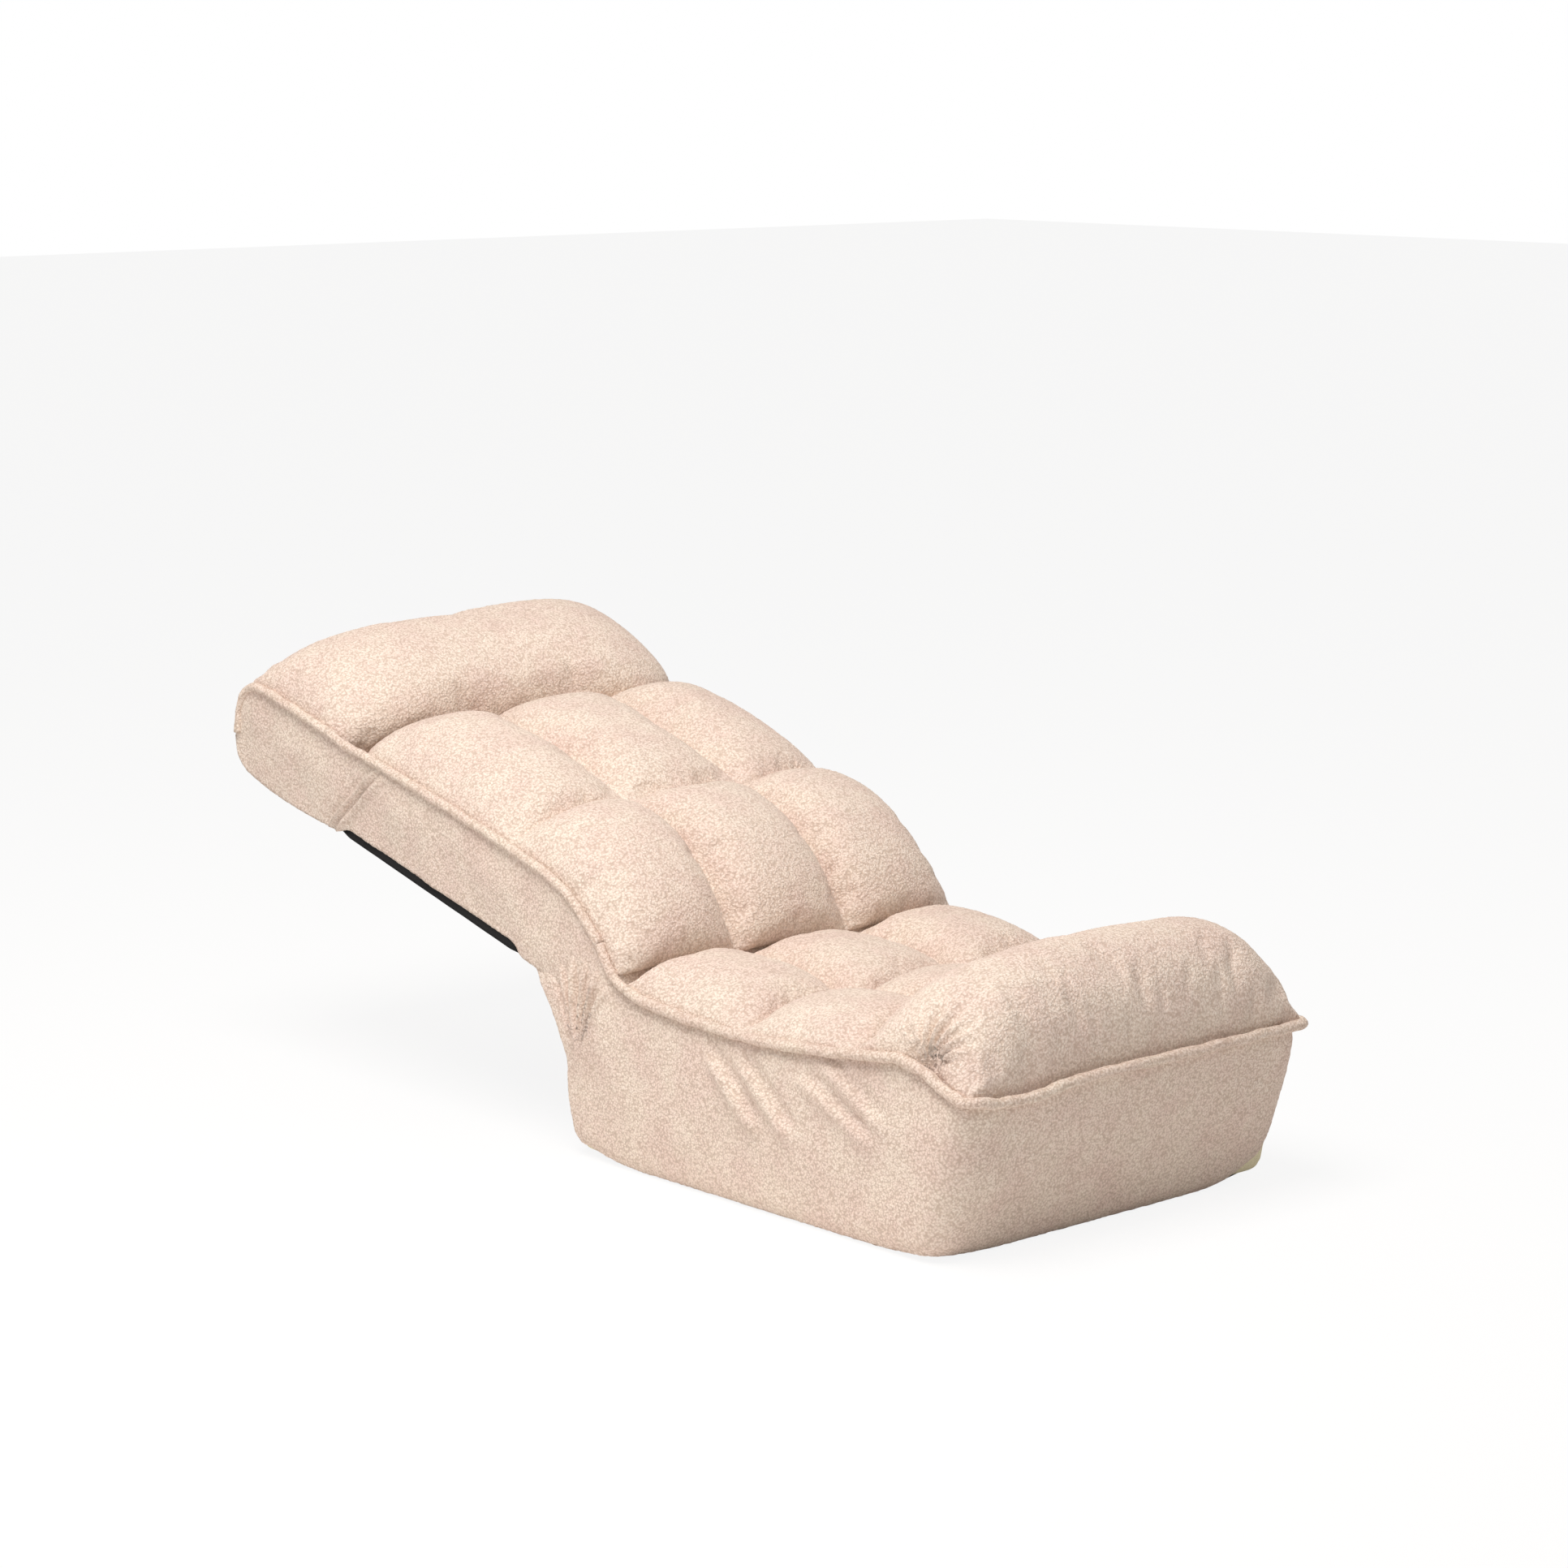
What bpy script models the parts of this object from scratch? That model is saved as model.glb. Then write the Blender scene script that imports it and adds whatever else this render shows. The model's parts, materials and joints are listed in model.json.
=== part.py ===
"""A reclining floor chair: thick fleece base, tufted seat with a bolster, tufted back and a head roll.

Metres, +Z up. The front faces -Y and the head end points to +Y. The origin is the centre of the underside.
Seat pieces are placed in the world. Back and head pieces hang under an empty on their hinge axis, whose
local Y runs along the section and whose local Z stands square to it.
"""

import math

import bmesh
import bpy
from mathutils import Matrix, Vector

# Whole chair
WIDTH = 0.560
BASE_LENGTH = 0.640
FRONT_HEIGHT = 0.207
FRONT_LEAN = 0.056
REAR_LEAN = 0.018
BASE_CORNER = 0.022
BOLSTER_DEPTH = 0.1915
BACK_ANGLE = math.radians(15.3)
BACK_THICKNESS = 0.120
HEAD_LENGTH = 0.232
HEAD_CORNER = 0.030

# Hinge axes: the recline axis in the world, and the head axis along the back from it
HINGE_INSET = 0.058
HINGE_RISE = 0.029
AXIS_TO_UNDERSIDE = 0.031
HEAD_HINGE = 0.561
HEAD_TILT = math.radians(45.0)

# Fabrics
CLEAR = 0.0003
FLEECE = 0.003
CLOTH = 0.0015
PIPING_R = 0.0045
PIPING_OUT = 0.0015
PIPING_BEND = 0.006
FLANGE = 0.022
HEM_START = 0.060
HEM_RISE = 0.014
GUSSET = 0.002
GUSSET_FOLD = 0.003
GUSSET_DEPTH = 0.0625
GUSSET_REACH = 0.140
LINING_R = 0.0325
LINING_SPAN = (112, 172)

# Frame
RAIL_R = 0.0095
RAIL_WALL = 0.0012
RAIL_INSET = 0.045
RAIL_BELOW_TOP = 0.014
SEAT_RAIL_SETBACK = 0.030
SEAT_BAR_SETBACK = 0.028
HUB_TO_SEAT_RAIL = 0.062
HEAD_RAIL_SETBACK = 0.038
HEAD_BAR_SETBACK = 0.040
BACK_CROSSBARS = (0.150, 0.430)
STRAP_THICKNESS = 0.0012
STRAP_WIDTH = 0.050
SEAT_STRAPS = (-0.156, 0.109)
BACK_STRAPS = (0.240, 0.340)

# Ratchet hinges: pins are placed from the pivot, teeth by first and last angle and count
ARM_THICKNESS = 0.004
ARM_PLAY = 0.0004
CHEEK = 0.002
TONGUE_HEIGHT = 0.013
TONGUE_LENGTH = 0.045
NECK = 0.0085
PIVOT_R = 0.0036
PIVOT_HEAD_R = 0.0062
PIVOT_HEAD = 0.0016
TOOTH_DEPTH = 0.0016
PAWL_BORE_R = 0.0022
PAWL_BOSS = 0.0022
SPRING_THICKNESS = 0.0006
RECLINE_TIP_R = 0.0165
RECLINE_DISC_R = 0.0210
RECLINE_HUB = 0.0245
RECLINE_PIN = (-0.0260, -0.0215)
RECLINE_TEETH = (100, 212, 15)
HEAD_TIP_R = 0.0135
HEAD_DISC_R = 0.0175
HEAD_HUB = 0.0210
HEAD_HOUSING = 0.0430
HEAD_PIN = (-0.0255, -0.0030)
HEAD_TEETH = (100, 190, 10)

# Quilting: crowns are the height of a tuft's middle above its seams
TUFT_CELLS = 8
COLUMNS = 3
ROLL_CELLS = (24, 14)
TUFT_SHAPE = 2.4
ROLL_SHAPE = 4.0
TUFT_FULLNESS = 0.55
SWELL_RAMP = 0.45
SWELL_FALL = 0.18
SWELL_SHAPE = 5
NOTCH_DEPTH = 0.039
HEAD_EDGE_DROP = 0.012
HEAD_SAG = 0.009
SEAT_ROWS = (0, 0.475, 1)
SEAT_CROWNS = (0.042, 0.044)
BOLSTER_CROWN = 0.090
BACK_ROWS = (0, 0.43, 1)
BACK_CROWNS = (0.044, 0.044)
BACK_SWELL = 0.034
HEAD_CROWN = 0.088

# Heights and places that follow from the sizes above
HALF = WIDTH / 2
RAIL_X = HALF - RAIL_INSET
PANEL_IN = HALF - FLEECE
FILL_X = PANEL_IN - CLEAR
PIPING_X = HALF + PIPING_OUT
HINGE_Y = BASE_LENGTH / 2 - HINGE_INSET
SEAT_RAIL_Z = FRONT_HEIGHT - RAIL_BELOW_TOP
HINGE_Z = SEAT_RAIL_Z + HINGE_RISE
REAR_HEIGHT = HINGE_Z - AXIS_TO_UNDERSIDE - CLEAR
SEAT_RAIL_FRONT = SEAT_RAIL_SETBACK - BASE_LENGTH / 2
SEAT_RAIL_REAR = HINGE_Y - HUB_TO_SEAT_RAIL
SEAT_CROSSBAR = SEAT_RAIL_FRONT + SEAT_BAR_SETBACK
HEAD_RAIL_END = HEAD_LENGTH - HEAD_RAIL_SETBACK
HEAD_CROSSBAR = HEAD_RAIL_END - HEAD_BAR_SETBACK
TOP = BACK_THICKNESS - AXIS_TO_UNDERSIDE
SLOT = RAIL_R + STRAP_THICKNESS + 2 * CLEAR
PAD_FLOOR = SLOT
FOAM_TOP = RAIL_R - 0.001
INNER_FACE = ARM_THICKNESS / 2 + ARM_PLAY
HOUSING_HALF = INNER_FACE + CHEEK
HUB_SLOT = HOUSING_HALF + PIVOT_HEAD + 4 * CLEAR
NOTCH = math.tan(HEAD_TILT / 2 + math.radians(0.6))
NOTCH_GAP = 2 * CLEAR
PANEL_DROP = PIPING_R + CLEAR

groups = {}
looks = {}


def clear_scene():
    for obj in list(bpy.data.objects):
        bpy.data.objects.remove(obj, do_unlink=True)


def new_collection(name):
    collection = bpy.data.collections.new(name)
    bpy.context.scene.collection.children.link(collection)
    return collection


def new_look(name, colour, roughness, metallic=0.0):
    made = bpy.data.materials.new(name)
    made.use_nodes = True
    shader = made.node_tree.nodes["Principled BSDF"]
    shader.inputs["Base Color"].default_value = (*colour, 1.0)
    shader.inputs["Roughness"].default_value = roughness
    shader.inputs["Metallic"].default_value = metallic
    looks[name] = made


def into(group, obj):
    for owner in list(obj.users_collection):
        owner.objects.unlink(obj)
    groups[group].objects.link(obj)


def finish(obj, name, look, frame=None):
    """Names a made object, gives it its material and hangs it under its frame."""
    obj.name = name
    obj.data.name = name
    obj.data.materials.clear()
    obj.data.materials.append(looks[look])
    obj.parent = frame
    into("chair", obj)
    return obj


def as_mesh(obj):
    """The evaluated mesh of an object as an object of its own, with its caps welded."""
    graph = bpy.context.evaluated_depsgraph_get()
    mesh = bpy.data.meshes.new_from_object(obj.evaluated_get(graph))
    made = bpy.data.objects.new(obj.name, mesh)
    made.matrix_world = obj.matrix_world
    bpy.context.scene.collection.objects.link(made)
    bpy.data.objects.remove(obj, do_unlink=True)
    shape = bmesh.new()
    shape.from_mesh(mesh)
    bmesh.ops.remove_doubles(shape, verts=shape.verts, dist=1e-5)
    bmesh.ops.recalc_face_normals(shape, faces=shape.faces)
    shape.to_mesh(mesh)
    shape.free()
    return made


def combine(obj, others, operation):
    """Joins or cuts a mesh object with others, which become hidden helpers in the same frame."""
    for other in others:
        other.hide_render = True
        other.display_type = "WIRE"
        other.parent = obj.parent
        into("cutters", other)
        step = obj.modifiers.new(operation.lower(), "BOOLEAN")
        step.operation = operation
        step.solver = "EXACT"
        step.object = other
    return obj


def box(low, high):
    """A cuboid between two corners."""
    low = Vector(low)
    high = Vector(high)
    bpy.ops.mesh.primitive_cube_add(size=1, location=(low + high) / 2)
    obj = bpy.context.object
    obj.data.transform(Matrix.Diagonal((*(high - low), 1)))
    return obj


def rod(axis, centre, radius, length, sides=16):
    """A solid round bar along X or Y."""
    turn = (0, math.pi / 2, 0) if axis == "X" else (math.pi / 2, 0, 0)
    bpy.ops.mesh.primitive_cylinder_add(
        vertices=sides, radius=radius, depth=length, location=centre, rotation=turn
    )
    return bpy.context.object


def pipe(axis, start, end, radius, wall):
    """A round tube with an open bore between two points along X or Y."""
    start = Vector(start)
    end = Vector(end)
    turn = (0, math.pi / 2, 0) if axis == "X" else (math.pi / 2, 0, 0)
    bpy.ops.mesh.primitive_cylinder_add(
        vertices=16,
        radius=radius,
        depth=(end - start).length,
        location=(start + end) / 2,
        rotation=turn,
        end_fill_type="NOTHING",
    )
    obj = bpy.context.object
    shell = obj.modifiers.new("wall", "SOLIDIFY")
    shell.thickness = wall
    shell.offset = -1
    obj.data.shade_smooth()
    return obj


def plate(outline, thickness, x, holes=()):
    """A flat outline in the Y-Z plane, given thickness along X about x. Holes are (y, z, radius)."""
    curve = bpy.data.curves.new("plate", "CURVE")
    curve.dimensions = "2D"
    curve.fill_mode = "BOTH"
    curve.extrude = thickness / 2
    rings = [outline]
    for y, z, radius in holes:
        rings.append(arc((y, z), radius, 0, 2 * math.pi, 16)[:-1])
    for ring in rings:
        spline = curve.splines.new("POLY")
        spline.points.add(len(ring) - 1)
        for point, (y, z) in zip(spline.points, ring):
            point.co = (y, z, 0, 1)
        spline.use_cyclic_u = True
    obj = bpy.data.objects.new("plate", curve)
    bpy.context.scene.collection.objects.link(obj)
    obj.location = (x, 0, 0)
    obj.rotation_euler = (math.pi / 2, 0, math.pi / 2)
    bpy.context.view_layer.update()
    return obj


def tube(points, radius, resolution=1):
    """A capped round cord through points."""
    curve = bpy.data.curves.new("tube", "CURVE")
    curve.dimensions = "3D"
    curve.bevel_depth = radius
    curve.bevel_resolution = resolution
    curve.use_fill_caps = True
    spline = curve.splines.new("POLY")
    spline.points.add(len(points) - 1)
    for point, place in zip(spline.points, points):
        point.co = (*place, 1)
    obj = bpy.data.objects.new("tube", curve)
    bpy.context.scene.collection.objects.link(obj)
    return obj


def arc(centre, radius, start, end, steps):
    """Points on a circle from one angle to another, both ends included."""
    angles = [start + (end - start) * k / steps for k in range(steps + 1)]
    return [(centre[0] + radius * math.cos(a), centre[1] + radius * math.sin(a)) for a in angles]


def fillet(before, corner, after, radius, steps=5):
    """A round corner between two straight sides."""
    corner = Vector(corner)
    one = (Vector(before) - corner).normalized()
    two = (Vector(after) - corner).normalized()
    half = one.angle(two) / 2
    centre = corner + (one + two).normalized() * radius / math.sin(half)
    first = corner + one * radius / math.tan(half) - centre
    last = corner + two * radius / math.tan(half) - centre
    start = math.atan2(first.y, first.x)
    turn = (math.atan2(last.y, last.x) - start + math.pi) % (2 * math.pi) - math.pi
    return arc(centre, radius, start, start + turn, steps)


def smooth(points, steps):
    """A Catmull-Rom curve through points, with some steps between each two."""
    knots = [Vector(p) for p in points]
    knots = [2 * knots[0] - knots[1]] + knots + [2 * knots[-1] - knots[-2]]
    made = []
    for a, b, c, d in zip(knots, knots[1:], knots[2:], knots[3:]):
        for k in range(steps):
            t = k / steps
            square = 2 * a - 5 * b + 4 * c - d
            cube = 3 * b - a - 3 * c + d
            made.append(0.5 * (2 * b + (c - a) * t + square * t**2 + cube * t**3))
    made.append(knots[-2])
    return made


def inset(points, distance):
    """An open line of 2D points moved to its left by a distance."""
    moved = []
    for k, point in enumerate(points):
        before = Vector(points[max(k - 1, 0)])
        after = Vector(points[min(k + 1, len(points) - 1)])
        run = (after - before).normalized()
        moved.append((point[0] - run.y * distance, point[1] + run.x * distance))
    return moved


def under_piping(line, steps):
    """The edge of a side panel that runs just below a line of piping."""
    curve = [(p.x, p.y) for p in smooth(line, steps)]
    forwards = curve[-1][0] > curve[0][0]
    return inset(curve, -PANEL_DROP if forwards else PANEL_DROP)


def strip(line, thickness, half_width):
    """A sheet of even thickness that follows a line in the Y-Z plane, across the chair."""
    outline = list(line) + list(reversed(inset(line, thickness)))
    return plate(outline, 2 * half_width, 0)


# Profiles in the Y-Z plane

BASE_FRONT_TOP = (-BASE_LENGTH / 2 - FRONT_LEAN, FRONT_HEIGHT)
BASE_FRONT_FOOT = (-BASE_LENGTH / 2, 0)
BASE_REAR_FOOT = (BASE_LENGTH / 2, 0)
BASE_REAR_TOP = (BASE_LENGTH / 2 + REAR_LEAN, REAR_HEIGHT)
FRONT_CORNER = fillet(BASE_FRONT_TOP, BASE_FRONT_FOOT, BASE_REAR_FOOT, BASE_CORNER)
REAR_CORNER = fillet(BASE_FRONT_FOOT, BASE_REAR_FOOT, BASE_REAR_TOP, BASE_CORNER)

BOLSTER_REAR = BASE_FRONT_TOP[0] + BOLSTER_DEPTH
CREASE = (HINGE_Y - 0.0245, HINGE_Z + 0.0155)

# The seat's piping: how far from its rear end to the front corner, and how high over the front panel's top
SEAT_PIPING_REAR = HINGE_Y - 0.0505
SEAT_PIPING_FRONT = BASE_FRONT_TOP[0] + 0.004
SEAT_PIPING_RISE = (
    (0.000, 0.0185),
    (0.054, 0.0110),
    (0.157, 0.0050),
    (0.294, 0.0015),
    (0.431, 0.0015),
    (0.585, 0.0080),
    (0.734, 0.0180),
    (0.822, 0.0230),
    (0.894, 0.0140),
    (0.950, 0.0020),
    (1.000, 0.0000),
)
SEAT_PIPING_LINE = [
    (SEAT_PIPING_REAR + (SEAT_PIPING_FRONT - SEAT_PIPING_REAR) * share, FRONT_HEIGHT + rise)
    for share, rise in SEAT_PIPING_RISE
]

# The back's piping, from the crease to the head hinge
BACK_PIPING_LINE = (
    (0.0169, TOP - 0.0393),
    (0.0378, TOP - 0.0268),
    (0.0758, TOP - 0.0092),
    (0.1185, TOP + 0.0020),
    (0.2234, TOP + 0.0060),
    (HEAD_HINGE - 0.186, TOP + 0.0040),
    (HEAD_HINGE - 0.040, TOP),
)

# The head roll's seam beyond the notch, as shares of the head's length and of its top's height
HEAD_ROLL_LINE = ((0.147, 0.787), (0.237, 0.944), (0.431, 1.0), (0.690, 1.0), (0.884, 0.978), (0.981, 0.924))


def beside_notch(height):
    """How far each section's face stands from the plane of the head axis, at a height above the axis."""
    return max(height, 0) * NOTCH + NOTCH_GAP


def base_walls():
    """The base's outer line in the Y-Z plane: down the front, along the floor and up the rear."""
    front_top = FRONT_HEIGHT - PANEL_DROP
    lean = FRONT_LEAN * front_top / FRONT_HEIGHT
    return [(-BASE_LENGTH / 2 - lean, front_top)] + FRONT_CORNER + REAR_CORNER + [BASE_REAR_TOP]


def hinge_gap(radius, start, end):
    """The base's arc round the recline axis, from one angle in degrees to another."""
    return arc((HINGE_Y, HINGE_Z), radius, math.radians(start), math.radians(end), 6)


# Frame pieces, in the Y-Z plane of their own section


def rail(name, x, start, end, z, frame=None):
    obj = pipe("Y", (x, start, z), (x, end, z), RAIL_R, RAIL_WALL)
    return finish(obj, name, "powder_coated_steel", frame)


def crossbar(name, y, z, frame=None):
    reach = RAIL_X - RAIL_R - CLEAR
    obj = pipe("X", (-reach, y, z), (reach, y, z), RAIL_R, RAIL_WALL)
    return finish(obj, name, "powder_coated_steel", frame)


def webbing(name, y, z, frame=None):
    """An elastic band over both rails, with its ends turned round them."""
    inner = RAIL_R + CLEAR
    wrap = math.radians(230)
    half = arc((RAIL_X, 0), inner, math.pi / 2, math.pi / 2 - wrap, 12)
    line = [(-px, pz) for px, pz in reversed(half)] + half
    outline = list(line) + list(reversed(inset(line, STRAP_THICKNESS)))
    obj = plate(outline, STRAP_WIDTH, 0)
    obj.rotation_euler = (math.pi / 2, 0, 0)
    obj.location = (0, y, z)
    return finish(obj, name, "elastic_webbing", frame)


def foam_slots(y_start, y_end, bars, z, depth, ceiling):
    """Cutters for the rails and crossbars that lie in a foam's upper face."""
    made = []
    for side in (-1, 1):
        x = side * RAIL_X
        made.append(box((x - SLOT, y_start, z - depth), (x + SLOT, y_end, ceiling)))
    for bar in bars:
        low = (-RAIL_X, bar - RAIL_R - CLEAR, z - RAIL_R - CLEAR)
        made.append(box(low, (RAIL_X, bar + RAIL_R + CLEAR, ceiling)))
    return made


def hub_slots(low, high):
    """Cutters round both hinges of a pair, between two corners in the Y-Z plane."""
    made = []
    for side in (-1, 1):
        x = side * RAIL_X
        made.append(box((x - HUB_SLOT, *low), (x + HUB_SLOT, *high)))
    return made


def head_hub_slots(y):
    disc = HEAD_DISC_R + 0.001
    return hub_slots((y - disc, -disc), (y + disc, disc))


# Ratchet hinges. Each is made about its pivot; drop is how far the rail's axis lies below it.


def housing(name, x, pivot, disc, drop, rail_end, pawl_pin, frame=None):
    """Two cheeks round the toothed arm, with the tongue between them that fits the rail's bore."""
    py, pz = pivot
    low = pz - drop - RAIL_R
    high = pz - drop + RAIL_R
    start = rail_end + CLEAR
    top = math.radians(165) if drop else math.radians(150)
    bottom = math.radians(-105) if drop else math.radians(-150)
    outline = arc(pivot, disc, bottom, top, 20) + [(start, high), (start, low)]
    if drop:
        outline.append((py - disc, low))
    cheeks = []
    for side in (-1, 1):
        middle = x + side * (INNER_FACE + CHEEK / 2)
        cheeks.append(as_mesh(plate(outline, CHEEK, middle, [(py, pz, PIVOT_R + CLEAR)])))
    tongue_low = pz - drop - TONGUE_HEIGHT / 2
    neck = pawl_pin[0] - NECK
    spine = box(
        (x - INNER_FACE - CHEEK / 4, start, tongue_low),
        (x + INNER_FACE + CHEEK / 4, neck, tongue_low + TONGUE_HEIGHT),
    )
    tongue = box(
        (x - ARM_THICKNESS / 2, rail_end - TONGUE_LENGTH, tongue_low),
        (x + ARM_THICKNESS / 2, neck - 0.001, tongue_low + TONGUE_HEIGHT),
    )
    pin = rod("X", (x, *pawl_pin), PAWL_BORE_R - CLEAR, 2 * INNER_FACE + CHEEK, 12)
    body = finish(cheeks[0], name, "zinc_steel", frame)
    return combine(body, [cheeks[1], spine, tongue, pin], "UNION")


def toothed_arm(name, x, tip, hub_end, sector, frame):
    """The moving half: a disc with ratchet teeth on part of its rim, and a tongue for its own rail."""
    root = tip - TOOTH_DEPTH
    first_tooth, last_tooth, teeth = sector
    outline = []
    pitch = (last_tooth - first_tooth) / teeth
    for k in range(teeth):
        at = math.radians(first_tooth + k * pitch)
        outline.append((root * math.cos(at), root * math.sin(at)))
        crest = math.radians(first_tooth + (k + 0.7) * pitch)
        outline.append((tip * math.cos(crest), tip * math.sin(crest)))
    half = TONGUE_HEIGHT / 2
    join = math.asin(half / root)
    outline += arc((0, 0), root, math.radians(last_tooth), 2 * math.pi - join, 8)
    outline += [(hub_end + TONGUE_LENGTH, -half), (hub_end + TONGUE_LENGTH, half)]
    outline += arc((0, 0), root, join, math.radians(first_tooth) - 0.05, 8)
    obj = plate(outline, ARM_THICKNESS, x, [(0, 0, PIVOT_R + CLEAR)])
    obj.data.name = name
    return finish(as_mesh(obj), name, "zinc_steel", frame)


def pivot_rivet(name, x, pivot, frame=None):
    """A rivet through both cheeks, with a round head on each."""
    reach = HOUSING_HALF + CLEAR
    profile = (
        (0, reach + PIVOT_HEAD),
        (PIVOT_HEAD_R * 0.7, reach + PIVOT_HEAD),
        (PIVOT_HEAD_R, reach + PIVOT_HEAD / 2),
        (PIVOT_HEAD_R, reach),
        (PIVOT_R, reach),
    )
    points = list(profile) + [(r, -z) for r, z in reversed(profile)]
    mesh = bpy.data.meshes.new(name)
    shape = bmesh.new()
    made = [shape.verts.new((r, 0, z)) for r, z in points]
    for a, b in zip(made, made[1:]):
        shape.edges.new((a, b))
    shape.to_mesh(mesh)
    shape.free()
    obj = bpy.data.objects.new(name, mesh)
    bpy.context.scene.collection.objects.link(obj)
    turn = obj.modifiers.new("turn", "SCREW")
    turn.steps = 16
    turn.render_steps = 16
    turn.use_merge_vertices = True
    turn.merge_threshold = 0.0001
    turn.use_normal_calculate = True
    obj.location = (x, *pivot)
    obj.rotation_euler = (0, math.pi / 2, 0)
    return finish(obj, name, "zinc_steel", frame)


def pawl(name, x, pivot, pin, tip, nose_angle, pitch, frame=None):
    """A lever that turns on its pin, with teeth on its nose that face the arm's."""
    reach = tip + CLEAR
    nose = []
    for k in range(5):
        at = math.radians(nose_angle + (k - 2) * pitch / 2)
        radius = reach + (TOOTH_DEPTH if k % 2 == 0 else 0)
        nose.append((pivot[0] + radius * math.cos(at), pivot[1] + radius * math.sin(at)))
    along = Vector(pin) - Vector((pivot[0], pivot[1]))
    lean = math.atan2(along.y, along.x)
    end = arc(pin, PAWL_BORE_R + PAWL_BOSS, lean - math.pi * 0.45, lean + math.pi * 0.45, 8)
    outline = nose + list(reversed(end))
    area = sum(a[0] * b[1] - b[0] * a[1] for a, b in zip(outline, outline[1:] + outline[:1]))
    if area < 0:
        outline.reverse()
    local = [(y - pin[0], z - pin[1]) for y, z in outline]
    obj = as_mesh(plate(local, ARM_THICKNESS, 0, [(0, 0, PAWL_BORE_R)]))
    bake(obj)
    obj.location = (x, *pin)
    return finish(obj, name, "zinc_steel", frame)


def bake(obj):
    """Moves an object's placing into its mesh, so that its origin can be set anew."""
    obj.data.transform(obj.matrix_world)
    obj.matrix_world = Matrix.Identity(4)


def pawl_spring(name, x, pivot, frame=None):
    """A bent leaf that presses the recline pawl towards the teeth."""
    line = [(-0.0480, -0.0220), (-0.0400, -0.0220), (-0.0325, -0.0150), (-0.0275, -0.0085)]
    placed = [(pivot[0] + y, pivot[1] + z) for y, z in line]
    outline = placed + list(reversed(inset(placed, SPRING_THICKNESS)))
    obj = plate(outline, ARM_THICKNESS, x)
    return finish(obj, name, "spring_steel", frame)


# Soft pieces


def tuft(s, t, end_shape):
    """The height of one tuft from 0 at its seams to 1 in its middle, for s and t from -1 to 1."""
    across = 1 - abs(s) ** end_shape
    along = 1 - abs(t) ** TUFT_SHAPE
    return max(across * along, 0) ** TUFT_FULLNESS


def stations(edges, cells):
    """Places between seams, closer together near each seam, with how far along its tuft each is."""
    made = []
    for a, b in zip(edges, edges[1:]):
        for k in range(cells):
            t = math.sin(math.pi / 2 * (2 * k / cells - 1))
            made.append(((a + b) / 2 + (b - a) / 2 * t, t, (a, b)))
    made.append((edges[-1], 1.0, (edges[-2], edges[-1])))
    return made


def along_line(line, share):
    """The point and the left-hand normal at a share of a 2D line's length."""
    lengths = [(Vector(b) - Vector(a)).length for a, b in zip(line, line[1:])]
    want = share * sum(lengths)
    for (a, b), length in zip(zip(line, line[1:]), lengths):
        if want <= length + 1e-9:
            run = (Vector(b) - Vector(a)).normalized()
            return Vector(a) + run * want, Vector((-run.y, run.x))
        want -= length
    run = (Vector(line[-1]) - Vector(line[-2])).normalized()
    return Vector(line[-1]), Vector((-run.y, run.x))


def ease(share):
    """A smooth step from 0 to 1."""
    share = min(max(share, 0), 1)
    return share * share * (3 - 2 * share)


def quilt(name, line, pattern, swell, floor, frame=None):
    """A pad whose top swells in tufts off a line in the Y-Z plane, down to a flat underside.

    pattern is the seams along the line from 0 to 1, each row's crown, the columns and the cells of a tuft.
    swell lifts the middle of the whole pad. floor is the underside's Z and its two ends along Y.
    """
    row_shares, crowns, columns, cells = pattern
    end_shape = TUFT_SHAPE if columns > 1 else ROLL_SHAPE
    rows = stations(row_shares, cells[1])
    edges = [-FILL_X + 2 * FILL_X * k / columns for k in range(columns + 1)]
    across = stations(edges, cells[0])
    shape = bmesh.new()
    grid = {}
    for i, (x, s, _) in enumerate(across):
        for j, (share, t, row) in enumerate(rows):
            point, normal = along_line(line, share)
            crown = crowns[row_shares.index(row[0])] * tuft(s, t, end_shape)
            ramp = ease(share / SWELL_RAMP) * ease((1 - share) / SWELL_FALL)
            lift = swell * (1 - abs(x / FILL_X) ** SWELL_SHAPE) * ramp
            place = point + normal * (crown + lift)
            grid[i, j] = shape.verts.new((x, place.x, place.y))
    for i in range(len(across) - 1):
        for j in range(len(rows) - 1):
            shape.faces.new((grid[i, j], grid[i + 1, j], grid[i + 1, j + 1], grid[i, j + 1]))
    rim = [edge for edge in shape.edges if edge.is_boundary]
    under = bmesh.ops.extrude_edge_only(shape, edges=rim)["geom"]
    fresh = [part for part in under if isinstance(part, bmesh.types.BMVert)]
    first = along_line(line, 0)[0].x
    last = along_line(line, 1)[0].x
    for vert in fresh:
        share = (vert.co.y - first) / (last - first)
        vert.co.y = floor[1] + (floor[2] - floor[1]) * min(max(share, 0), 1)
        vert.co.z = floor[0]
    loop = [part for part in under if isinstance(part, bmesh.types.BMEdge) and part.is_boundary]
    bmesh.ops.edgeloop_fill(shape, edges=loop)
    bmesh.ops.recalc_face_normals(shape, faces=shape.faces)
    mesh = bpy.data.meshes.new(name)
    shape.to_mesh(mesh)
    shape.free()
    obj = bpy.data.objects.new(name, mesh)
    bpy.context.scene.collection.objects.link(obj)
    mesh.shade_smooth()
    return finish(obj, name, "teddy_fleece", frame)


def piping(name, points, frame=None):
    obj = as_mesh(tube(points, PIPING_R))
    obj.data.shade_smooth()
    return finish(obj, name, "teddy_fleece", frame)


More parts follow.
